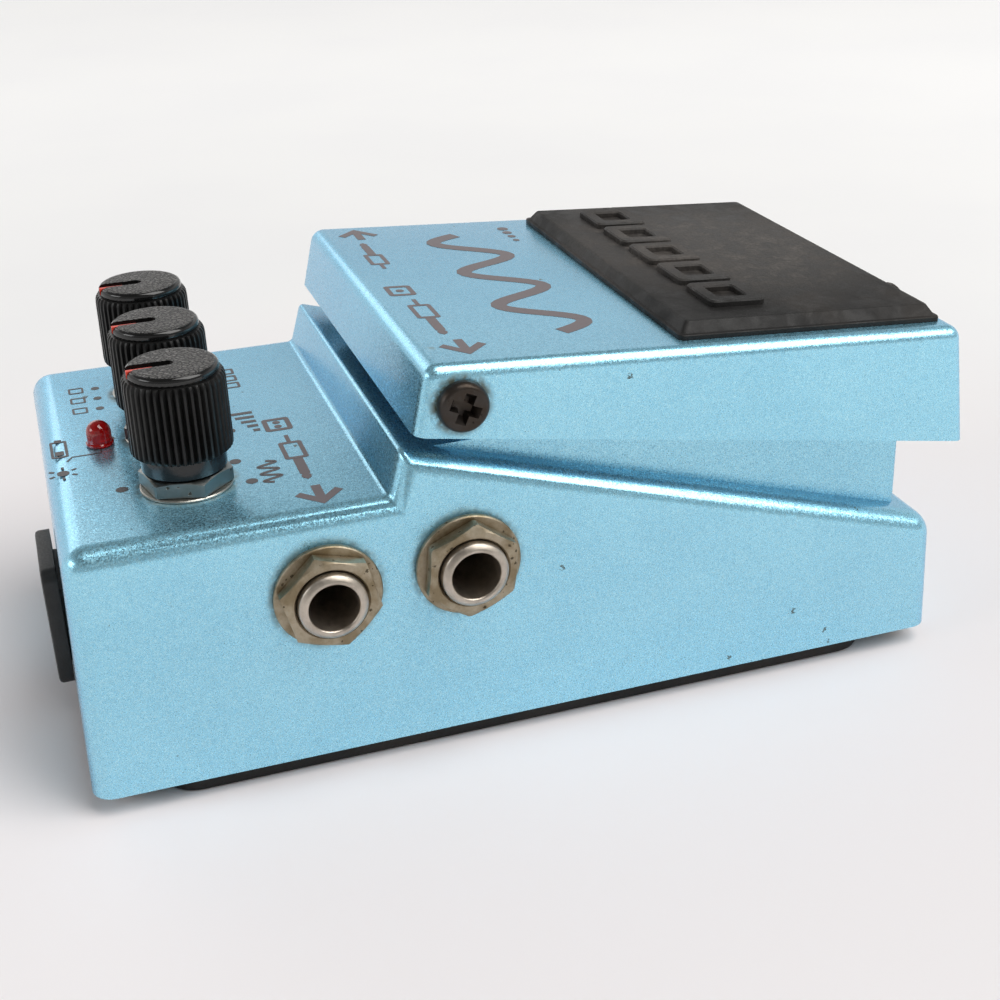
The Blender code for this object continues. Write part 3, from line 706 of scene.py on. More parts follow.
def case_outer():
    points = [
        (CASE_REAR_Y, FOOT_H),
        (CASE_REAR_Y - DRAFT * (PANEL_Z - FOOT_H), PANEL_Z),
        (STEP_Y, PANEL_Z),
        (CREST_Y, CREST_Z),
        (CASE_FRONT_Y + 0.55, DECK_FRONT_Z),
        (CASE_FRONT_Y, FOOT_H),
    ]
    bm = side_profile(points, case_half_width)

    def on_step(edge):
        """The step's crest and foot, which stay crisper than the outside edges."""
        return all(STEP_Y - 2.6 < v.co.y < STEP_Y + 0.6 and v.co.z > PANEL_Z - 0.6
                   for v in edge.verts)

    bevel(bm, lambda e: sharp(e) and any(v.co.z > FOOT_H + 0.1 for v in e.verts)
          and not (on_step(e) and extent(e, 0) > 1), CASE_ROUND, 9)
    bevel(bm, lambda e: sharp(e, 25) and on_step(e) and extent(e, 1) < 0.6, STEP_ROUND, 4)
    return bm


def case_cavity():
    drop = WALL + 0.1
    points = [
        (CASE_REAR_Y - WALL, FOOT_H - 2),
        (CASE_REAR_Y - WALL - 1.1, PANEL_Z - WALL),
        (STEP_Y - WALL, PANEL_Z - WALL),
        (CREST_Y - 1.7, deck_z(CREST_Y - 1.7) - drop),
        (CASE_FRONT_Y + 2.3, deck_z(CASE_FRONT_Y + 2.3) - drop),
        (CASE_FRONT_Y + WALL, FOOT_H - 2),
    ]
    return side_profile(points, lambda z: case_half_width(z) - WALL)


def block_outer():
    points = [(BLOCK_FRONT_Y, 19.5), (BLOCK_FRONT_Y, BLOCK_FRONT_Z), (9.0, BLOCK_REAR_Z)]
    points += arc((AXIS_Y, AXIS_Z), EAR_R, 105, -125, 24)
    points += [(7.9, 44.5), (8.2, SILL_Z), (SILL_REAR_Y, SILL_Z), (SILL_REAR_Y, 40.0)]
    points.reverse()
    bm = side_profile(points, lambda z: BLOCK_HALF_W - DRAFT * (z - 24.0))
    bevel(bm, lambda e: sharp(e) and all(v.co.z > 19 for v in e.verts)
          and any(v.co.y < 7.0 for v in e.verts) and any(v.co.z > 42 for v in e.verts), 0.9, 4)
    return bm


def build_case():
    steps = [("-", case_cavity()), ("+", block_outer())]
    # the block is hollow at both ends, with a solid middle that the battery bay is cut into
    steps += [
        ("-", box((-BAY_HALF_W, -55.0, FOOT_H + 7.0), (BAY_HALF_W, -41.8, 43.4))),
        ("-", box((-BAY_HALF_W, -6.6, 18.0), (BAY_HALF_W, 3.7, 49.6))),
        ("+", box((-28.6, -41.9, 28.0), (28.6, -6.5, 39.0))),
        ("+", rod("Z", (0, SPRING_Y), 7.2, 32.2, 44.5)),
        ("-", box((-BAY_HALF_W, BAY_Y[0], BAY_FLOOR_Z), (BAY_HALF_W, BAY_Y[1], 60))),
        ("-", box((-23.0, 5.6, 45.2), (23.0, 17.0, 60))),
        ("-", rod("Z", (0, SPRING_Y), 6.3, SPRING_SEAT_Z, 60)),
        ("-", rod("Z", (PLUNGER_X, SPRING_Y), PLUNGER_HOLE_RADIUS, 42, 60)),
        ("-", along("Y", (0, GUIDE_Z), slot_outline(3.3, GUIDE_HALF), -58, -54)),
    ]
    # holes for the hinge, sockets, base screws, controls, lamp and power socket
    for side in (-1, 1):
        steps.append(("-", rod("X", (AXIS_Y, AXIS_Z), 2.2, side * 22, side * 31)))
        steps.append(("-", rod("X", JACK_A, 5.0, side * 30, side * 37)))
        for y in SCREW_Y:
            post = (side * SCREW_X, y - math.copysign(0.8, y))
            steps.append(("+", rod("Z", post, 3.4, 4.8, 14, 24)))
            steps.append(("-", rod("Z", (side * SCREW_X, y), 1.6, 2, 12, 20)))
    steps.append(("-", rod("X", JACK_B, 5.0, -37, -30)))
    for x in KNOBS.values():
        steps.append(("-", rod("Z", (x, KNOB_Y), 3.8, 30, 42)))
    steps.append(("-", rod("Z", (0, LED_Y), 1.5, 30, 42, 24)))
    steps.append(("-", box((-6.9, 58, DC_Z - 6.3), (6.9, 68, DC_Z + 6.3))))
    bm = carve(case_outer(), *steps)
    make("case", bm, CASE_PAINT, "case", ["case_shell"], 28)


def treadle_outer():
    points = [TREADLE_REAR_TOP, TREADLE_REAR_BOTTOM, TREADLE_FRONT_BOTTOM, TREADLE_FRONT_TOP]
    bm = side_profile(points, treadle_half_width)

    def upper(edge):
        return sharp(edge) and not all(v.co.z < treadle_top(v.co.y) - 6.0 for v in edge.verts)

    bevel(bm, upper, TREADLE_ROUND, 8)
    return bm


def treadle_inner():
    wall = SKIN * 0.97
    points = [
        (TREADLE_REAR_TOP[0] - wall - 0.1, treadle_top(TREADLE_REAR_TOP[0] - wall) - SKIN),
        (TREADLE_REAR_BOTTOM[0] - wall + 0.6, TREADLE_REAR_BOTTOM[1] - 2.0),
        (TREADLE_FRONT_BOTTOM[0] + wall - 0.4, TREADLE_FRONT_BOTTOM[1] - 3.0),
        (TREADLE_FRONT_TOP[0] + wall - 0.4, treadle_top(TREADLE_FRONT_TOP[0] + wall) - SKIN),
    ]
    return side_profile(points, lambda z: treadle_half_width(z) - SKIN)


def build_treadle():
    under = treadle_top(SPRING_Y) - SKIN
    stud = [(3.2, under - 3.4), (3.5, under - 3.0), (3.5, under + 0.6)]
    steps = [
        ("-", treadle_inner()),
        ("+", lathe("Z", (0, SPRING_Y), stud, 32)),
        ("+", rod("Z", (PLUNGER_X, SPRING_Y), PUSHER_RADIUS, PLUNGER_TOP_Z + 0.3, under + 0.6, 32)),
        ("+", rod("Y", (0, THUMB_Z), 5.6, THUMB_BOSS_Y, CLIP_Y - 0.3)),
        ("-", rod("Y", (0, THUMB_Z), 2.6, -70, -58)),
    ]
    for side in (-1, 1):
        steps.append(("-", rod("X", (AXIS_Y, AXIS_Z), 1.9, side * 30, side * 37, 32)))
    bm = carve(treadle_outer(), *steps)
    make("treadle", bm, TREADLE_PAINT, "treadle", ["treadle_shell"], 28)


# ================================================================== tread pad

def on_treadle(x, y, lift):
    return (x, y, treadle_top(y) + lift)


def tread_ring(inset, lift, corner):
    half_x = PAD_HALF_W - inset
    half_y = (PAD_REAR_Y - PAD_FRONT_Y) / 2 - inset
    middle = (PAD_REAR_Y + PAD_FRONT_Y) / 2
    return [on_treadle(x, middle + y, lift) for x, y in rounded_rect(half_x, half_y, corner)]


def eased(points, amount):
    """Outline whose points are moved out from its centre."""
    grown = [(p, 1 + amount / math.hypot(*p)) for p in points]
    return [(a * factor, b * factor) for (a, b), factor in grown]


def raised_frame(bm, x, y):
    """Rounded frame standing on the pad, with eased upper edges."""
    outer, inner = rounded_rect(4.4, 4.2, 0.9, 4), rounded_rect(2.4, 2.2, 0.5, 4)
    low, high, ease = 2.1, 3.2, 0.25
    levels = [(outer, low), (outer, high - ease), (eased(outer, -ease), high),
              (eased(inner, ease), high), (inner, high - ease), (inner, low)]
    rings = [[on_treadle(x + a, y + b, lift) for a, b in points] for points, lift in levels]
    close_loop(bm, bridge(bm, rings, cap=False))


def build_pad():
    # inset, height over the treadle and corner radius
    levels = [(0.0, 0.05, 0.9), (0.0, 0.62, 0.9), (0.10, 0.74, 0.85), (0.42, 0.80, 0.8),
              (0.52, 0.86, 0.8), (1.35, 2.06, 0.7), (1.50, 2.20, 0.65), (1.75, 2.27, 0.6)]
    bm = bmesh.new()
    bridge(bm, [tread_ring(*level) for level in levels])
    make("tread_pad", bm, PAD_RUBBER, "treadle", ["treadle_pad"], 25)
    # a plain row of raised frames in place of lettering
    bars = bmesh.new()
    for i in range(-2, 3):
        raised_frame(bars, 10.4 * i, -31.4)
    make("tread_bars", bars, PAD_RUBBER, "treadle", smooth=25)


# ================================================================== controls

def fluted(axis, centre, levels, per):
    """Turned solid from (radius, t, depth) steps, with rounded valleys between its ribs."""
    count = FLUTES * per
    rings = []
    for radius, t, depth in levels:
        ring = []
        for i in range(count):
            dip = max(0.0, math.cos(2 * math.pi * (i % per) / per)) ** 0.8
            angle = 2 * math.pi * i / count
            reach = radius - depth * dip
            point = (reach * math.cos(angle), reach * math.sin(angle))
            ring.append(to_axis(axis, centre, point, t))
        rings.append(ring)
    bm = bmesh.new()
    bridge(bm, rings)
    return bm


def build_knob(label, x):
    body = label + "_control"
    centre = (x, KNOB_Y)
    levels = [(5.55, 44.15, 0.0), (6.45, 44.2, 0.30), (6.72, 44.45, 0.52), (6.78, 45.0, 0.55),
              (6.70, 53.6, 0.55), (6.62, 54.3, 0.45), (6.35, 54.75, 0.18), (5.9, 54.85, 0.0)]
    grip = fluted("Z", centre, levels, 6)
    make(label + "_grip", grip, KNOB_BLACK, body, [label + "_knob"], 40)

    neck = lathe("Z", centre, [(5.45, 41.6), (5.65, 41.75), (5.68, 42.6), (5.6, 44.3)], 72)
    make(label + "_neck", neck, NECK_BLACK, body)

    rim = [(5.75, 54.7), (5.98, 54.95), (6.02, 55.25), (5.98, 55.62), (5.82, 55.9), (5.55, 56.05),
           (5.0, KNOB_TOP_Z)]
    # pointer slot: open at the rim, round at its inner end
    outline = arc((0.0, 0.6), 0.85, 180, 360, 12) + [(1.0, 7.5), (-1.0, 7.5)]
    disc = carve(lathe("Z", centre, rim, 96), ("-", along("Z", centre, outline, 55.0, 57.5)))
    make(label + "_disc", disc, KNOB_TOP, body, smooth=40)

    wedge = [(-1.30, 5.95), (-0.66, 5.95), (-0.70, 2.6), (-0.90, 2.6)]
    line = along("Z", centre, wedge, 55.15, 56.10)
    make(label + "_pointer", line, POINTER_RED, body, smooth=30)


def build_controls():
    turns = {"rate": 14.0, "depth": 38.0, "mode": 5.0}
    for label, x in KNOBS.items():
        build_knob(label, x)
        nut = hex_ring("Z", (x, KNOB_Y), 11.0, 3.75, 39.15, 41.35, 0.45, turns[label])
        make(label + "_hex_nut", nut, ZINC, "case", [label + "_nut"], 30)
        loop = [(3.8, 38.72), (6.1, 38.72), (6.25, 38.8), (6.25, 39.0), (6.1, 39.12), (3.8, 39.12)]
        washer = ring_lathe("Z", (x, KNOB_Y), loop, 72)
        make(label + "_seat_ring", washer, PLATED, "case")


def build_lamp():
    profile = [(1.3, 28.2), (1.3, 38.9), (1.95, 38.92), (1.95, 39.15), (1.75, 39.3), (1.75, 40.6)]
    for i in range(1, 9):
        angle = math.radians(11.0 * i)
        profile.append((1.75 * math.cos(angle), 40.6 + 1.75 * math.sin(angle)))
    lens = lathe("Z", (0, LED_Y), profile, 40)
    make("lamp_lens", lens, LAMP, "case", ["led_lens"], 50)


# ================================================================== sockets

def build_jack(label, side, centre, turn):
    """Threaded barrel, hexagon nut and washer of one jack socket."""
    end = side * JACK_END_X

    def t(distance):
        return end - side * distance

    loop = [(3.35, t(27.0)), (4.68, t(27.0)), (4.68, t(3.0))]
    pitch = 0.55
    for i in range(4):
        start = 2.9 - pitch * i
        loop += [(4.68, t(start)), (4.56, t(start - pitch * 0.5))]
    loop += [(4.62, t(0.62)), (4.50, t(0.42)), (4.05, t(0.12)), (3.86, t(0.02)), (3.62, t(0.0)),
             (3.44, t(0.10)), (3.35, t(0.35))]
    barrel = ring_lathe("X", centre, loop, 96)
    make(label + "_barrel", barrel, BARREL, "case", smooth=50)
    back = carve(
        box((min(side * 6.0, side * 31.2), centre[0] - 6.5, centre[1] - 6.8),
            (max(side * 6.0, side * 31.2), centre[0] + 6.5, centre[1] + 6.8)),
        ("-", rod("X", centre, 4.75, side * 11.2, side * 40)),
        ("-", rod("X", centre, 3.3, side * 8.0, side * 40)))
    make(label + "_housing", back, SOCKET_BLACK, "case", [label + "_jack"], 30)

    loop = [(4.85, side * 34.1), (7.1, side * 34.1), (7.28, side * 34.2), (7.28, side * 34.75),
            (7.12, side * 34.9), (4.85, side * 34.9)]
    washer = ring_lathe("X", centre, loop, 96)
    make(label + "_flat_washer", washer, NICKEL, "case", [label + "_washer"])
    nut = hex_ring("X", centre, 12.0, 4.80, side * 34.95, side * 37.1, 0.50, turn)
    make(label + "_hex_nut", nut, NICKEL, "case", [label + "_nut"], 30)


def build_power_socket():
    wall = CASE_REAR_Y - DRAFT * (DC_Z - DC_HALF_H - FOOT_H)
    face = wall + 2.2
    # inset, depth and corner radius
    levels = [(0.0, wall + 0.05, 2.0), (0.0, face - 0.55, 2.0), (0.18, face - 0.15, 1.85),
              (0.6, face, 1.5)]
    bezel = bmesh.new()
    bridge(bezel, [[(x, t, DC_Z + z)
                    for x, z in rounded_rect(DC_HALF_W - inset, DC_HALF_H - inset, corner, 8)]
                   for inset, t, corner in levels])
    body = box((-6.5, 51.0, DC_Z - 5.9), (6.5, wall + 0.6, DC_Z + 5.9))
    ridge = ring_lathe("Y", (0, DC_Z), [(4.6, face - 0.3), (5.3, face - 0.3),
                                        (5.2, face + 0.02), (4.7, face + 0.02)])
    bezel = carve(bezel, ("+", body), ("-", rod("Y", (0, DC_Z), 4.6, face - 1.0, 70)),
                  ("+", ridge), ("-", rod("Y", (0, DC_Z), 3.1, 54.0, 70)))
    make("power_socket", bezel, SOCKET_BLACK, "case", ["dc_jack"], 30)
    profile = [(1.0, 54.3), (1.0, face - 1.2), (0.85, face - 0.9), (0.5, face - 0.75)]
    pin = lathe("Y", (0, DC_Z), profile, 32)
    make("power_pin", pin, NICKEL, "case", ["dc_jack_pin"])


# ================================================================== hinge and screws

def cross_bars(axis, centre, low, high, size, width, turn):
    """The cross's two bars as separate cutters."""
    cutters = []
    for quarter in (0, 1):
        angle = math.radians(turn + 90 * quarter)
        ca, sa = math.cos(angle), math.sin(angle)
        outer = [(size, width), (-size, width), (-size, -width), (size, -width)]
        inner = [(a * 0.5, b * 0.6) for a, b in outer]
        spun = [[(a * ca - b * sa, a * sa + b * ca) for a, b in ring] for ring in (inner, outer)]
        cutters.append(prism([to_axis(axis, centre, p, low) for p in spun[0]],
                             [to_axis(axis, centre, p, high) for p in spun[1]]))
    return cutters


def screw_head(name, axis, centre, seat, sign, radius, height, shank_r, shank_end, material, body,
               replaced, turn, recess):
    """Pan head with rounded shoulder, cross recess and plain shank."""
    profile = [(shank_r * 0.7, shank_end), (shank_r, shank_end + sign * 0.5), (shank_r, seat)]
    profile += [(radius * 0.97, seat), (radius, seat + sign * height * 0.12)]
    for i in range(0, 8):
        angle = math.radians(90 * i / 7)
        r = radius * (0.78 + 0.22 * math.cos(angle))
        profile.append((r, seat + sign * height * (0.35 + 0.65 * math.sin(angle))))
    profile.append((radius * 0.45, seat + sign * height * 1.02))
    bm = lathe(axis, centre, profile, 64)
    low = seat + sign * height * 0.15
    high = seat + sign * height * 1.6
    size, width = recess
    cutters = cross_bars(axis, centre, low, high, size * 1.25, width * 1.1, turn)
    bm = carve(bm, *[("-", c) for c in cutters])
    make(name, bm, material, body, [replaced], 38)


def build_hinge():
    for side, label in ((-1, "left"), (1, "right")):
        seat = side * (treadle_half_width(AXIS_Z) + 0.25)
        screw_head("pivot_screw_" + label, "X", (AXIS_Y, AXIS_Z), seat, side, 3.45, 1.75, 1.5,
                   side * 24.0, BLACK_STEEL, "hinge", "hinge_screw_" + label, 24.0,
                   (2.1, 0.80))


def build_base_screws():
    for side, across in ((-1, "left"), (1, "right")):
        for y in SCREW_Y:
            label = "%s_%s" % ("rear" if y > 0 else "front", across)
            screw_head("bottom_screw_" + label, "Z", (side * SCREW_X, y), 2.88, -1, 3.0, 1.35,
                       1.35, 11.0, PLATED, "case", "base_screw_" + label, 20.0 + y,
                       (1.7, 0.42))


# ================================================================== foot end

def build_spring():
    top = treadle_top(SPRING_Y) - SKIN - 0.3 - SPRING_WIRE_R - 0.4
    bottom = SPRING_SEAT_Z + 0.3 + SPRING_WIRE_R
    count = int(SPRING_TURNS * 32)
    bm = bmesh.new()
    rings = []
    for i in range(count + 1):
        share = i / count
        angle = 2 * math.pi * SPRING_TURNS * share
        rise = min(max((share - 0.12) / 0.76, 0.0), 1.0)
        z = bottom + (top - bottom) * (0.12 * share + 0.88 * rise)
        out = Vector((math.cos(angle), math.sin(angle), 0.0))
        centre = Vector((0.0, SPRING_Y, z)) + out * SPRING_R
        rings.append([centre + out * a + Vector((0, 0, b)) for a, b in circle(SPRING_WIRE_R, 14)])
    bridge(bm, rings)
    coil = make("foot_spring", bm, SPRING_STEEL, "hinge", ["return_spring"])
    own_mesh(coil)


def build_thumbscrew():
    centre = (0, THUMB_Z)
    face = THUMB_BOSS_Y - 0.3 - THUMB_TRAVEL
    tip = -57.9
    knurl = [(4.75, face - 5.0, 0.0), (5.2, face - 4.6, 0.22), (5.3, face - 4.2, 0.30),
             (5.3, face - 0.8, 0.30), (5.2, face - 0.4, 0.22), (4.75, face, 0.0)]
    thread = [(2.0, face - 0.5)]
    start = face + 0.2
    while start < tip - 3.4:
        thread += [(2.25, start), (2.0, start + THUMB_PITCH / 2)]
        start += THUMB_PITCH
    thread += [(1.7, tip - 3.0), (1.7, tip - 0.5), (1.3, tip)]
    shaft = lathe("Y", centre, thread, 40)
    slot = box((-7, face - 8, THUMB_Z - 0.7), (7, face - 3.6, THUMB_Z + 0.7))
    bm = carve(fluted("Y", centre, knurl, 4), ("+", shaft), ("-", slot))
    make("thumb_knob", bm, BLACK_STEEL, "thumb_screw", ["thumbscrew"], 40)
    loop = [(2.4, CLIP_Y), (3.5, CLIP_Y), (3.6, CLIP_Y + 0.1), (3.6, CLIP_Y + 0.5),
            (3.5, CLIP_Y + 0.6), (2.4, CLIP_Y + 0.6)]
    clip = ring_lathe("Y", centre, loop, 48)
    make("thumb_clip", clip, SPRING_STEEL, "thumb_slide", ["thumbscrew_clip"])
    bush = along("Y", (0, GUIDE_Z), slot_outline(4.2, GUIDE_HALF), -57.8, -57.2)
    bevel(bush, lambda e: sharp(e, 60) and all(v.co.y < -57.7 for v in e.verts), 0.2, 2)
    throat = along("Y", (0, GUIDE_Z), slot_outline(3.0, GUIDE_HALF), -57.5, -54.6)
    opening = along("Y", (0, GUIDE_Z), slot_outline(2.2, GUIDE_HALF), -60, -52)
    bush = carve(bush, ("+", throat), ("-", opening))
    make("thumb_guide", bush, NYLON, "case", ["guide_bush"], 40)


def build_switch():
    body = box((PLUNGER_X - 6, -51.0, 33.5), (PLUNGER_X + 6, -42.1, 43.1))
    bevel(body, sharp, 0.5, 3)
    body = carve(body, ("-", rod("Z", (PLUNGER_X, SPRING_Y), 2.7, 35.0, 50)))
    make("switch_housing", body, CHIP_BLACK, "case", ["footswitch_body"], 40)
    steps = [(2.4, 38.0), (2.4, 47.2), (2.3, 47.6), (2.0, 47.88), (1.4, 48.0)]
    make("switch_button", lathe("Z", (PLUNGER_X, SPRING_Y), steps, 40), NYLON, "plunger",
         ["switch_plunger"])


# ================================================================== battery and base

def build_battery():
    y = (BAY_Y[0] + BAY_Y[1]) / 2
    low, high = BAY_FLOOR_Z + 0.3, 47.6
    middle = (low + high) / 2
    cell = box((-26.4, y - 13.1, low), (20.0, y + 13.1, high))
    bevel(cell, lambda e: extent(e, 0) > 1, 2.6, 6)
    bevel(cell, lambda e: sharp(e, 60), 0.6, 3)
    small = lathe("X", (y - 6.4, middle), [(2.8, 19.5), (2.8, 21.9), (2.5, 22.2)], 32)
    large = lathe("X", (y + 6.4, middle), [(3.9, 19.5), (3.9, 21.9), (3.6, 22.2)], 32)
    make("block_battery", carve(cell, ("+", small), ("+", large)), JACKET, "case",
         ["battery"], 35)
    cap = box((20.35, y - 12.6, middle - 6.5), (25.4, y + 12.6, middle + 6.5))
    bevel(cap, lambda e: extent(e, 0) > 1, 3.0, 6)
    bevel(cap, lambda e: sharp(e, 60) and e.verts[0].co.x > 22, 0.8, 3)
    cap = carve(cap, ("-", rod("X", (y - 6.4, middle), 3.2, 19.0, 22.7)),
                ("-", rod("X", (y + 6.4, middle), 4.3, 19.0, 22.7)))
    make("battery_cap", cap, SOCKET_BLACK, "case", ["battery_snap"], 35)


def build_mat():
    """Rubber base with rounded, cut-away corners and a shallow tread."""
    half, rear, front, cut = 33.0, 63.5, -60.5, 11.3
    centre_y = (rear + front) / 2
    half_y = (rear - front) / 2

    def outline(inset):
        points = []
        ends = [(half, half_y - cut), (half - cut, half_y),
                (cut - half, half_y), (-half, half_y - cut)]
        corners = ends + [(-x, -y) for x, y in ends]
        count = len(corners)
        for i, (x, y) in enumerate(corners):
            px, py = corners[i - 1]
            nx, ny = corners[(i + 1) % count]
            a = Vector((px - x, py - y)).normalized() * 2.2
            b = Vector((nx - x, ny - y)).normalized() * 2.2
            corner = Vector((x, y))
            for s in (0.0, 0.25, 0.5, 0.75, 1.0):
                p = (corner + a) * (1 - s) ** 2 + corner * 2 * s * (1 - s) + (corner + b) * s ** 2
                points.append((p.x * (1 - inset / half), centre_y + p.y * (1 - inset / half_y)))
        return points

    bm = bmesh.new()
    rings = [(0.5, 0.0), (0.1, 0.25), (0.0, 0.6), (0.0, 2.6), (0.25, 2.88)]
    bridge(bm, [[(x, y, z) for x, y in outline(inset)] for inset, z in rings])
    grooves = []
    for i in range(-5, 6):
        x = i * 5.2
        grooves.append(("-", box((x - 0.5, front + 6, -0.5), (x + 0.5, rear - 6, 0.35))))
    make("foot_mat", carve(bm, *grooves), MAT_RUBBER, "case", ["rubber_base"], 35)


# ================================================================== printed marks

PRINT_T = 0.035                 # thickness of the ink above the surface
PRINT_SINK = -0.05              # how far its underside is set into it


class Marks:
    """Flat printed marks on one plane, gathered into one piece."""

    def __init__(self, to_surface):
        self.bm = bmesh.new()
        self.to_surface = to_surface

    def shape(self, outline):
        bridge(self.bm, [[self.to_surface(x, y, lift) for x, y in outline]
                         for lift in (PRINT_SINK, PRINT_T)])

    def block(self, x0, y0, x1, y1):
        self.shape([(x0, y0), (x1, y0), (x1, y1), (x0, y1)])

    def stroke(self, points, width):
        """Line of even width along points, as one strip."""
        rings = []
        for i, (x, y) in enumerate(points):
            ax, ay = points[max(0, i - 1)]
            bx, by = points[min(len(points) - 1, i + 1)]
            direction = Vector((bx - ax, by - ay)).normalized() * width / 2
            left = (x - direction.y, y + direction.x)
            right = (x + direction.y, y - direction.x)
            rings.append([self.to_surface(*left, PRINT_SINK), self.to_surface(*right, PRINT_SINK),
                          self.to_surface(*right, PRINT_T), self.to_surface(*left, PRINT_T)])
        bridge(self.bm, rings)

    def dot(self, x, y, radius):
        self.shape([(x + a, y + b) for a, b in circle(radius, 28)])

    def ring(self, x, y, half_a, half_b, corner, width):
        """Rounded rectangular outline."""
        outer = rounded_rect(half_a, half_b, corner, 5)
        inner = rounded_rect(half_a - width, half_b - width, max(corner - width, 0.15), 5)
        rings = [[self.to_surface(x + a, y + b, lift) for a, b in points]
                 for points, lift in ((outer, PRINT_SINK), (outer, PRINT_T),
                                      (inner, PRINT_T), (inner, PRINT_SINK))]
        close_loop(self.bm, bridge(self.bm, rings, cap=False))

    def mirrored(self, half, x, y, sign, size):
        """Shape that is the same on both sides of a line along X."""
        outline = half + [(a, -b) for a, b in reversed(half) if b]
        self.shape([(x + sign * a * size, y + b * size) for a, b in outline])

    def arrow(self, x, y, sign, size=1.0):
        """Open arrow head with a short stem, pointing along X by sign."""
        half = [(0.9, 0.0), (-2.35, 3.1), (-3.2, 2.25), (-1.45, 0.62), (-4.7, 0.62)]
        self.mirrored(half, x, y, sign, size)

    def plug(self, x, y, sign, size=1.0):
        """Outline of a jack plug lying along X, its tip towards sign."""
        self.ring(x - sign * 3.9 * size, y, 2.6 * size, 1.45 * size, 0.4 * size, 0.66)
        shank = [(-1.25, 0.62), (3.1, 0.62), (3.5, 0.4), (3.8, 0.62), (4.4, 0.5), (4.9, 0.0)]
        self.mirrored(shank, x, y, sign, size)
        self.stroke([(x - sign * 6.55 * size, y), (x - sign * 8.6 * size, y)], 0.62)

    def wave(self, x0, x1, y, height, turns, width):
        count = int(turns * 20)
        points = []
        for i in range(count + 1):
            s = i / count
            points.append((x0 + (x1 - x0) * s, y + height * math.sin(2 * math.pi * turns * s)))
        self.stroke(points, width)

    def finish(self, name, material, body):
        make(name, self.bm, material, body, smooth=30)


def panel_surface(x, y, lift):
    return (x, y, PANEL_Z + lift)


def build_prints():
    panel = Marks(panel_surface)
    # three of the dots on the ring round each dial, then three places for the mode switch
    dial_radius = 8.6
    for x in (KNOBS["rate"], KNOBS["depth"]):
        for degrees in (80.0, 254.0, 303.0):
            angle = math.radians(degrees)
            panel.dot(x + dial_radius * math.cos(angle),
                      KNOB_Y + dial_radius * math.sin(angle), 0.82)
    for dx in (-4.2, 0.0, 4.2):
        panel.dot(KNOBS["mode"] + dx, 54.3, 0.62)
        panel.ring(KNOBS["mode"] + dx, 57.2, 1.15, 1.15, 0.3, 0.34)
    # under the knobs: quick waves, growing bars, linked squares
    panel.wave(-21.6, -14.6, 34.6, 1.25, 3.0, 0.6)
    for i in range(5):
        x = -3.4 + 1.7 * i
        height = 1.0 + 0.6 * i
        panel.block(x - 0.42, 33.2, x + 0.42, 33.2 + height)
    for i in range(3):
        panel.ring(15.2 + 3.0 * i, 34.2, 1.15, 1.25, 0.3, 0.42)
    # lead line from the lamp, with a lit-lamp sign and a battery sign beside it
    panel.stroke([(-2.0, 55.6), (-3.1, 55.6), (-3.1, 59.6), (-4.4, 60.4)], 0.32)
    panel.dot(-8.2, 61.2, 0.85)
    for angle in range(0, 360, 60):
        ca, sa = math.cos(math.radians(angle)), math.sin(math.radians(angle))
        panel.stroke([(-8.2 + reach * ca, 61.2 + reach * sa) for reach in (1.35, 2.1)], 0.4)
    panel.ring(0.2, 61.2, 2.9, 1.2, 0.35, 0.42)
    panel.block(3.2, 60.7, 3.7, 61.7)
    panel.block(-1.9, 60.6, -0.5, 61.8)
    panel.finish("panel_marks", PRINT_DARK, "case")

    sockets = Marks(panel_surface)
    sockets.arrow(-29.6, 29.8, -1, 1.05)
    sockets.plug(-16.8, 30.2, -1, 1.15)
    sockets.ring(-2.6, 30.6, 2.3, 2.0, 0.6, 0.75)
    sockets.dot(-3.35, 30.6, 0.55)
    sockets.dot(-1.85, 30.6, 0.55)
    sockets.finish("socket_marks", PRINT_GREY, "case")

    top = Marks(on_treadle)
    top.arrow(-29.2, 9.2, -1, 1.05)
    top.plug(-16.4, 10.2, -1, 1.15)
    top.ring(-2.2, 11.0, 2.3, 2.0, 0.6, 0.75)
    top.dot(-2.2, 11.0, 0.6)
    top.arrow(30.2, 9.8, 1, 1.05)
    top.plug(18.0, 10.3, 1, 1.05)
    top.wave(25.0, -24.0, -5.6, 4.8, 3.0, 2.3)
    for i in range(4):
        top.dot(20.6 + 2.3 * i, -14.6, 0.55 + 0.12 * i)
    top.finish("treadle_marks", PRINT_GREY, "treadle")


# ================================================================== carried-over CAD pieces

CARRIED = {
    "base_plate": PLATED, "insulator_sheet": FIBRE, "main_board": BOARD, "control_board": BOARD,
    "board_screw_1": PLATED, "board_screw_2": PLATED, "delay_chip": CHIP_BLACK,
    "clock_chip": CHIP_BLACK, "amplifier_chip": CHIP_BLACK, "filter_capacitor": SLEEVE,
    "output_capacitor": SLEEVE,
    "bias_trimmer": GREY_PLASTIC, "rate_pot": GREY_PLASTIC, "depth_pot": GREY_PLASTIC,
    "mode_switch": GREY_PLASTIC, "rate_shaft": PLATED, "depth_shaft": PLATED, "mode_shaft": PLATED,
    "hinge_bush_left": NYLON, "hinge_bush_right": NYLON,
}


def dress_carried():
    for name, material in CARRIED.items():
        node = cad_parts[name]
        node.data.materials.clear()
        node.data.materials.append(material)


# ================================================================== studio

# name, place, aim, size in metres, watts, colour
LIGHTS = (
    ("key", (-0.88, -1.05, 2.12), (0.0, 0.0, 0.03), (1.6, 2.6), 62.5, (1.0, 0.985, 0.965)),
    ("rear", (-0.20, 2.30, 1.10), (0.0, 0.0, 0.03), (1.2, 0.8), 10.0, (0.98, 0.99, 1.0)),
    ("card", (1.65, 0.60, 0.82), (0.0, 0.0, 0.04), (1.0, 0.7), 2.4, (1.0, 0.98, 0.97)),
)


FLOOR_HALF = 3000.0


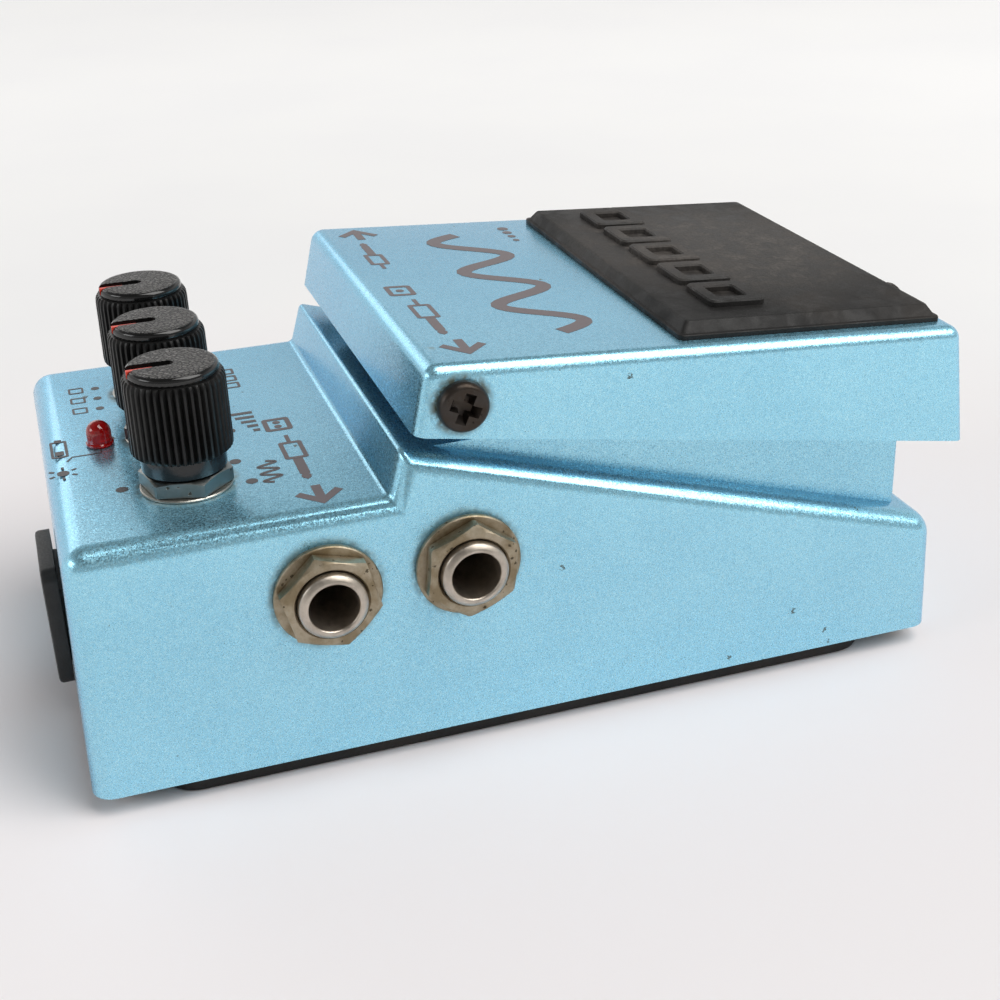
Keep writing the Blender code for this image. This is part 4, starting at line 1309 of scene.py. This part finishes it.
def facing(place, target):
    """Rotation that points -Z from one place to another and keeps Y upwards."""
    return (Vector(target) - Vector(place)).to_track_quat("-Z", "Y")


def build_studio():
    bm = bmesh.new()
    corners = [(-1, -1), (1, -1), (1, 1), (-1, 1)]
    bm.faces.new([bm.verts.new((FLOOR_HALF * a, FLOOR_HALF * b, 0.0)) for a, b in corners])
    m = Nodes("floor_paper", Specular_IOR_Level=0.25)
    cloud = m.span(m.noise(90.0, 3.0, 0.5), 0.3, 0.7)
    tone = m.mix(cloud, (0.865, 0.865, 0.872), (0.885, 0.885, 0.885))
    # the sweep behind the object is lit more strongly than the spot it stands on
    reach = m.vector("LENGTH", m.place)
    tone = m.mix(m.span(reach, 70.0, 190.0, 1.0, 0.0), tone, (0.875, 0.835, 0.845))
    away = m.math("ADD", m.span(reach, 90.0, 520.0, 0.0, 0.12),
                  m.span(reach, 700.0, 2600.0, 0.0, 0.32))
    m.output(Base_Color=tone, Roughness=0.75, Emission_Color=(1.0, 1.0, 0.99),
             Emission_Strength=away)
    floor = make("floor", bm, m.material, None)

    world = bpy.data.worlds.new("studio")
    bpy.context.scene.world = world
    world.use_nodes = True
    tree = world.node_tree
    coords = tree.nodes.new("ShaderNodeTexCoord")
    split = tree.nodes.new("ShaderNodeSeparateXYZ")
    tree.links.new(coords.outputs["Generated"], split.inputs[0])
    ramp = tree.nodes.new("ShaderNodeValToRGB")
    tree.links.new(split.outputs["Z"], ramp.inputs["Fac"])
    stops = ((0.0, 0.92), (0.10, 0.80), (0.24, 0.62), (0.42, 1.00), (0.56, 0.26), (1.0, 0.10))
    while len(ramp.color_ramp.elements) < len(stops):
        ramp.color_ramp.elements.new(0.5)
    for element, (position, value) in zip(ramp.color_ramp.elements, stops):
        element.position = position
        element.color = (value, value * 0.995, value * 0.985, 1.0)
    background = tree.nodes["Background"]
    tree.links.new(ramp.outputs["Color"], background.inputs["Color"])
    # the room behind the viewer is dimmer than the paper sweep behind the object
    dim = tree.nodes.new("ShaderNodeMapRange")
    dim.interpolation_type = "SMOOTHSTEP"
    tree.links.new(split.outputs["X"], dim.inputs["Value"])
    dim.inputs["From Min"].default_value = -0.45
    dim.inputs["From Max"].default_value = 0.25
    dim.inputs["To Min"].default_value = 0.45
    dim.inputs["To Max"].default_value = 1.0
    tree.links.new(dim.outputs["Result"], background.inputs["Strength"])

    for name, place, target, size, power, color in LIGHTS:
        light = bpy.data.lights.new(name, "AREA")
        light.shape = "RECTANGLE"
        light.size, light.size_y = size
        light.energy = power
        light.color = color
        obj = bpy.data.objects.new(name, light)
        bpy.context.scene.collection.objects.link(obj)
        obj.visible_camera = False
        obj.location = place
        obj.rotation_euler = facing(place, target).to_euler()


def build_camera():
    data = bpy.data.cameras.new("camera")
    data.lens = CAMERA_LENS
    data.sensor_width = 36.0
    data.clip_start = 0.01
    camera = bpy.data.objects.new("camera", data)
    bpy.context.scene.collection.objects.link(camera)
    roll = Matrix.Rotation(math.radians(CAMERA_ROLL), 3, "Z")
    turn = facing(CAMERA_AT, CAMERA_AIM).to_matrix() @ roll
    camera.matrix_world = Matrix.Translation(Vector(CAMERA_AT) * MM) @ turn.to_4x4()
    bpy.context.scene.camera = camera


# ================================================================== build

bpy.context.scene.view_settings.view_transform = "Standard"
build_camera()
build_studio()
build_case()
build_treadle()
build_pad()
build_controls()
build_lamp()
build_jack("output_a", -1, JACK_A, 36.0)
build_jack("output_b", -1, JACK_B, 15.0)
build_jack("input", 1, JACK_A, 10.0)
build_power_socket()
build_hinge()
build_base_screws()
build_spring()
build_thumbscrew()
build_switch()
build_battery()
build_mat()
build_prints()
dress_carried()
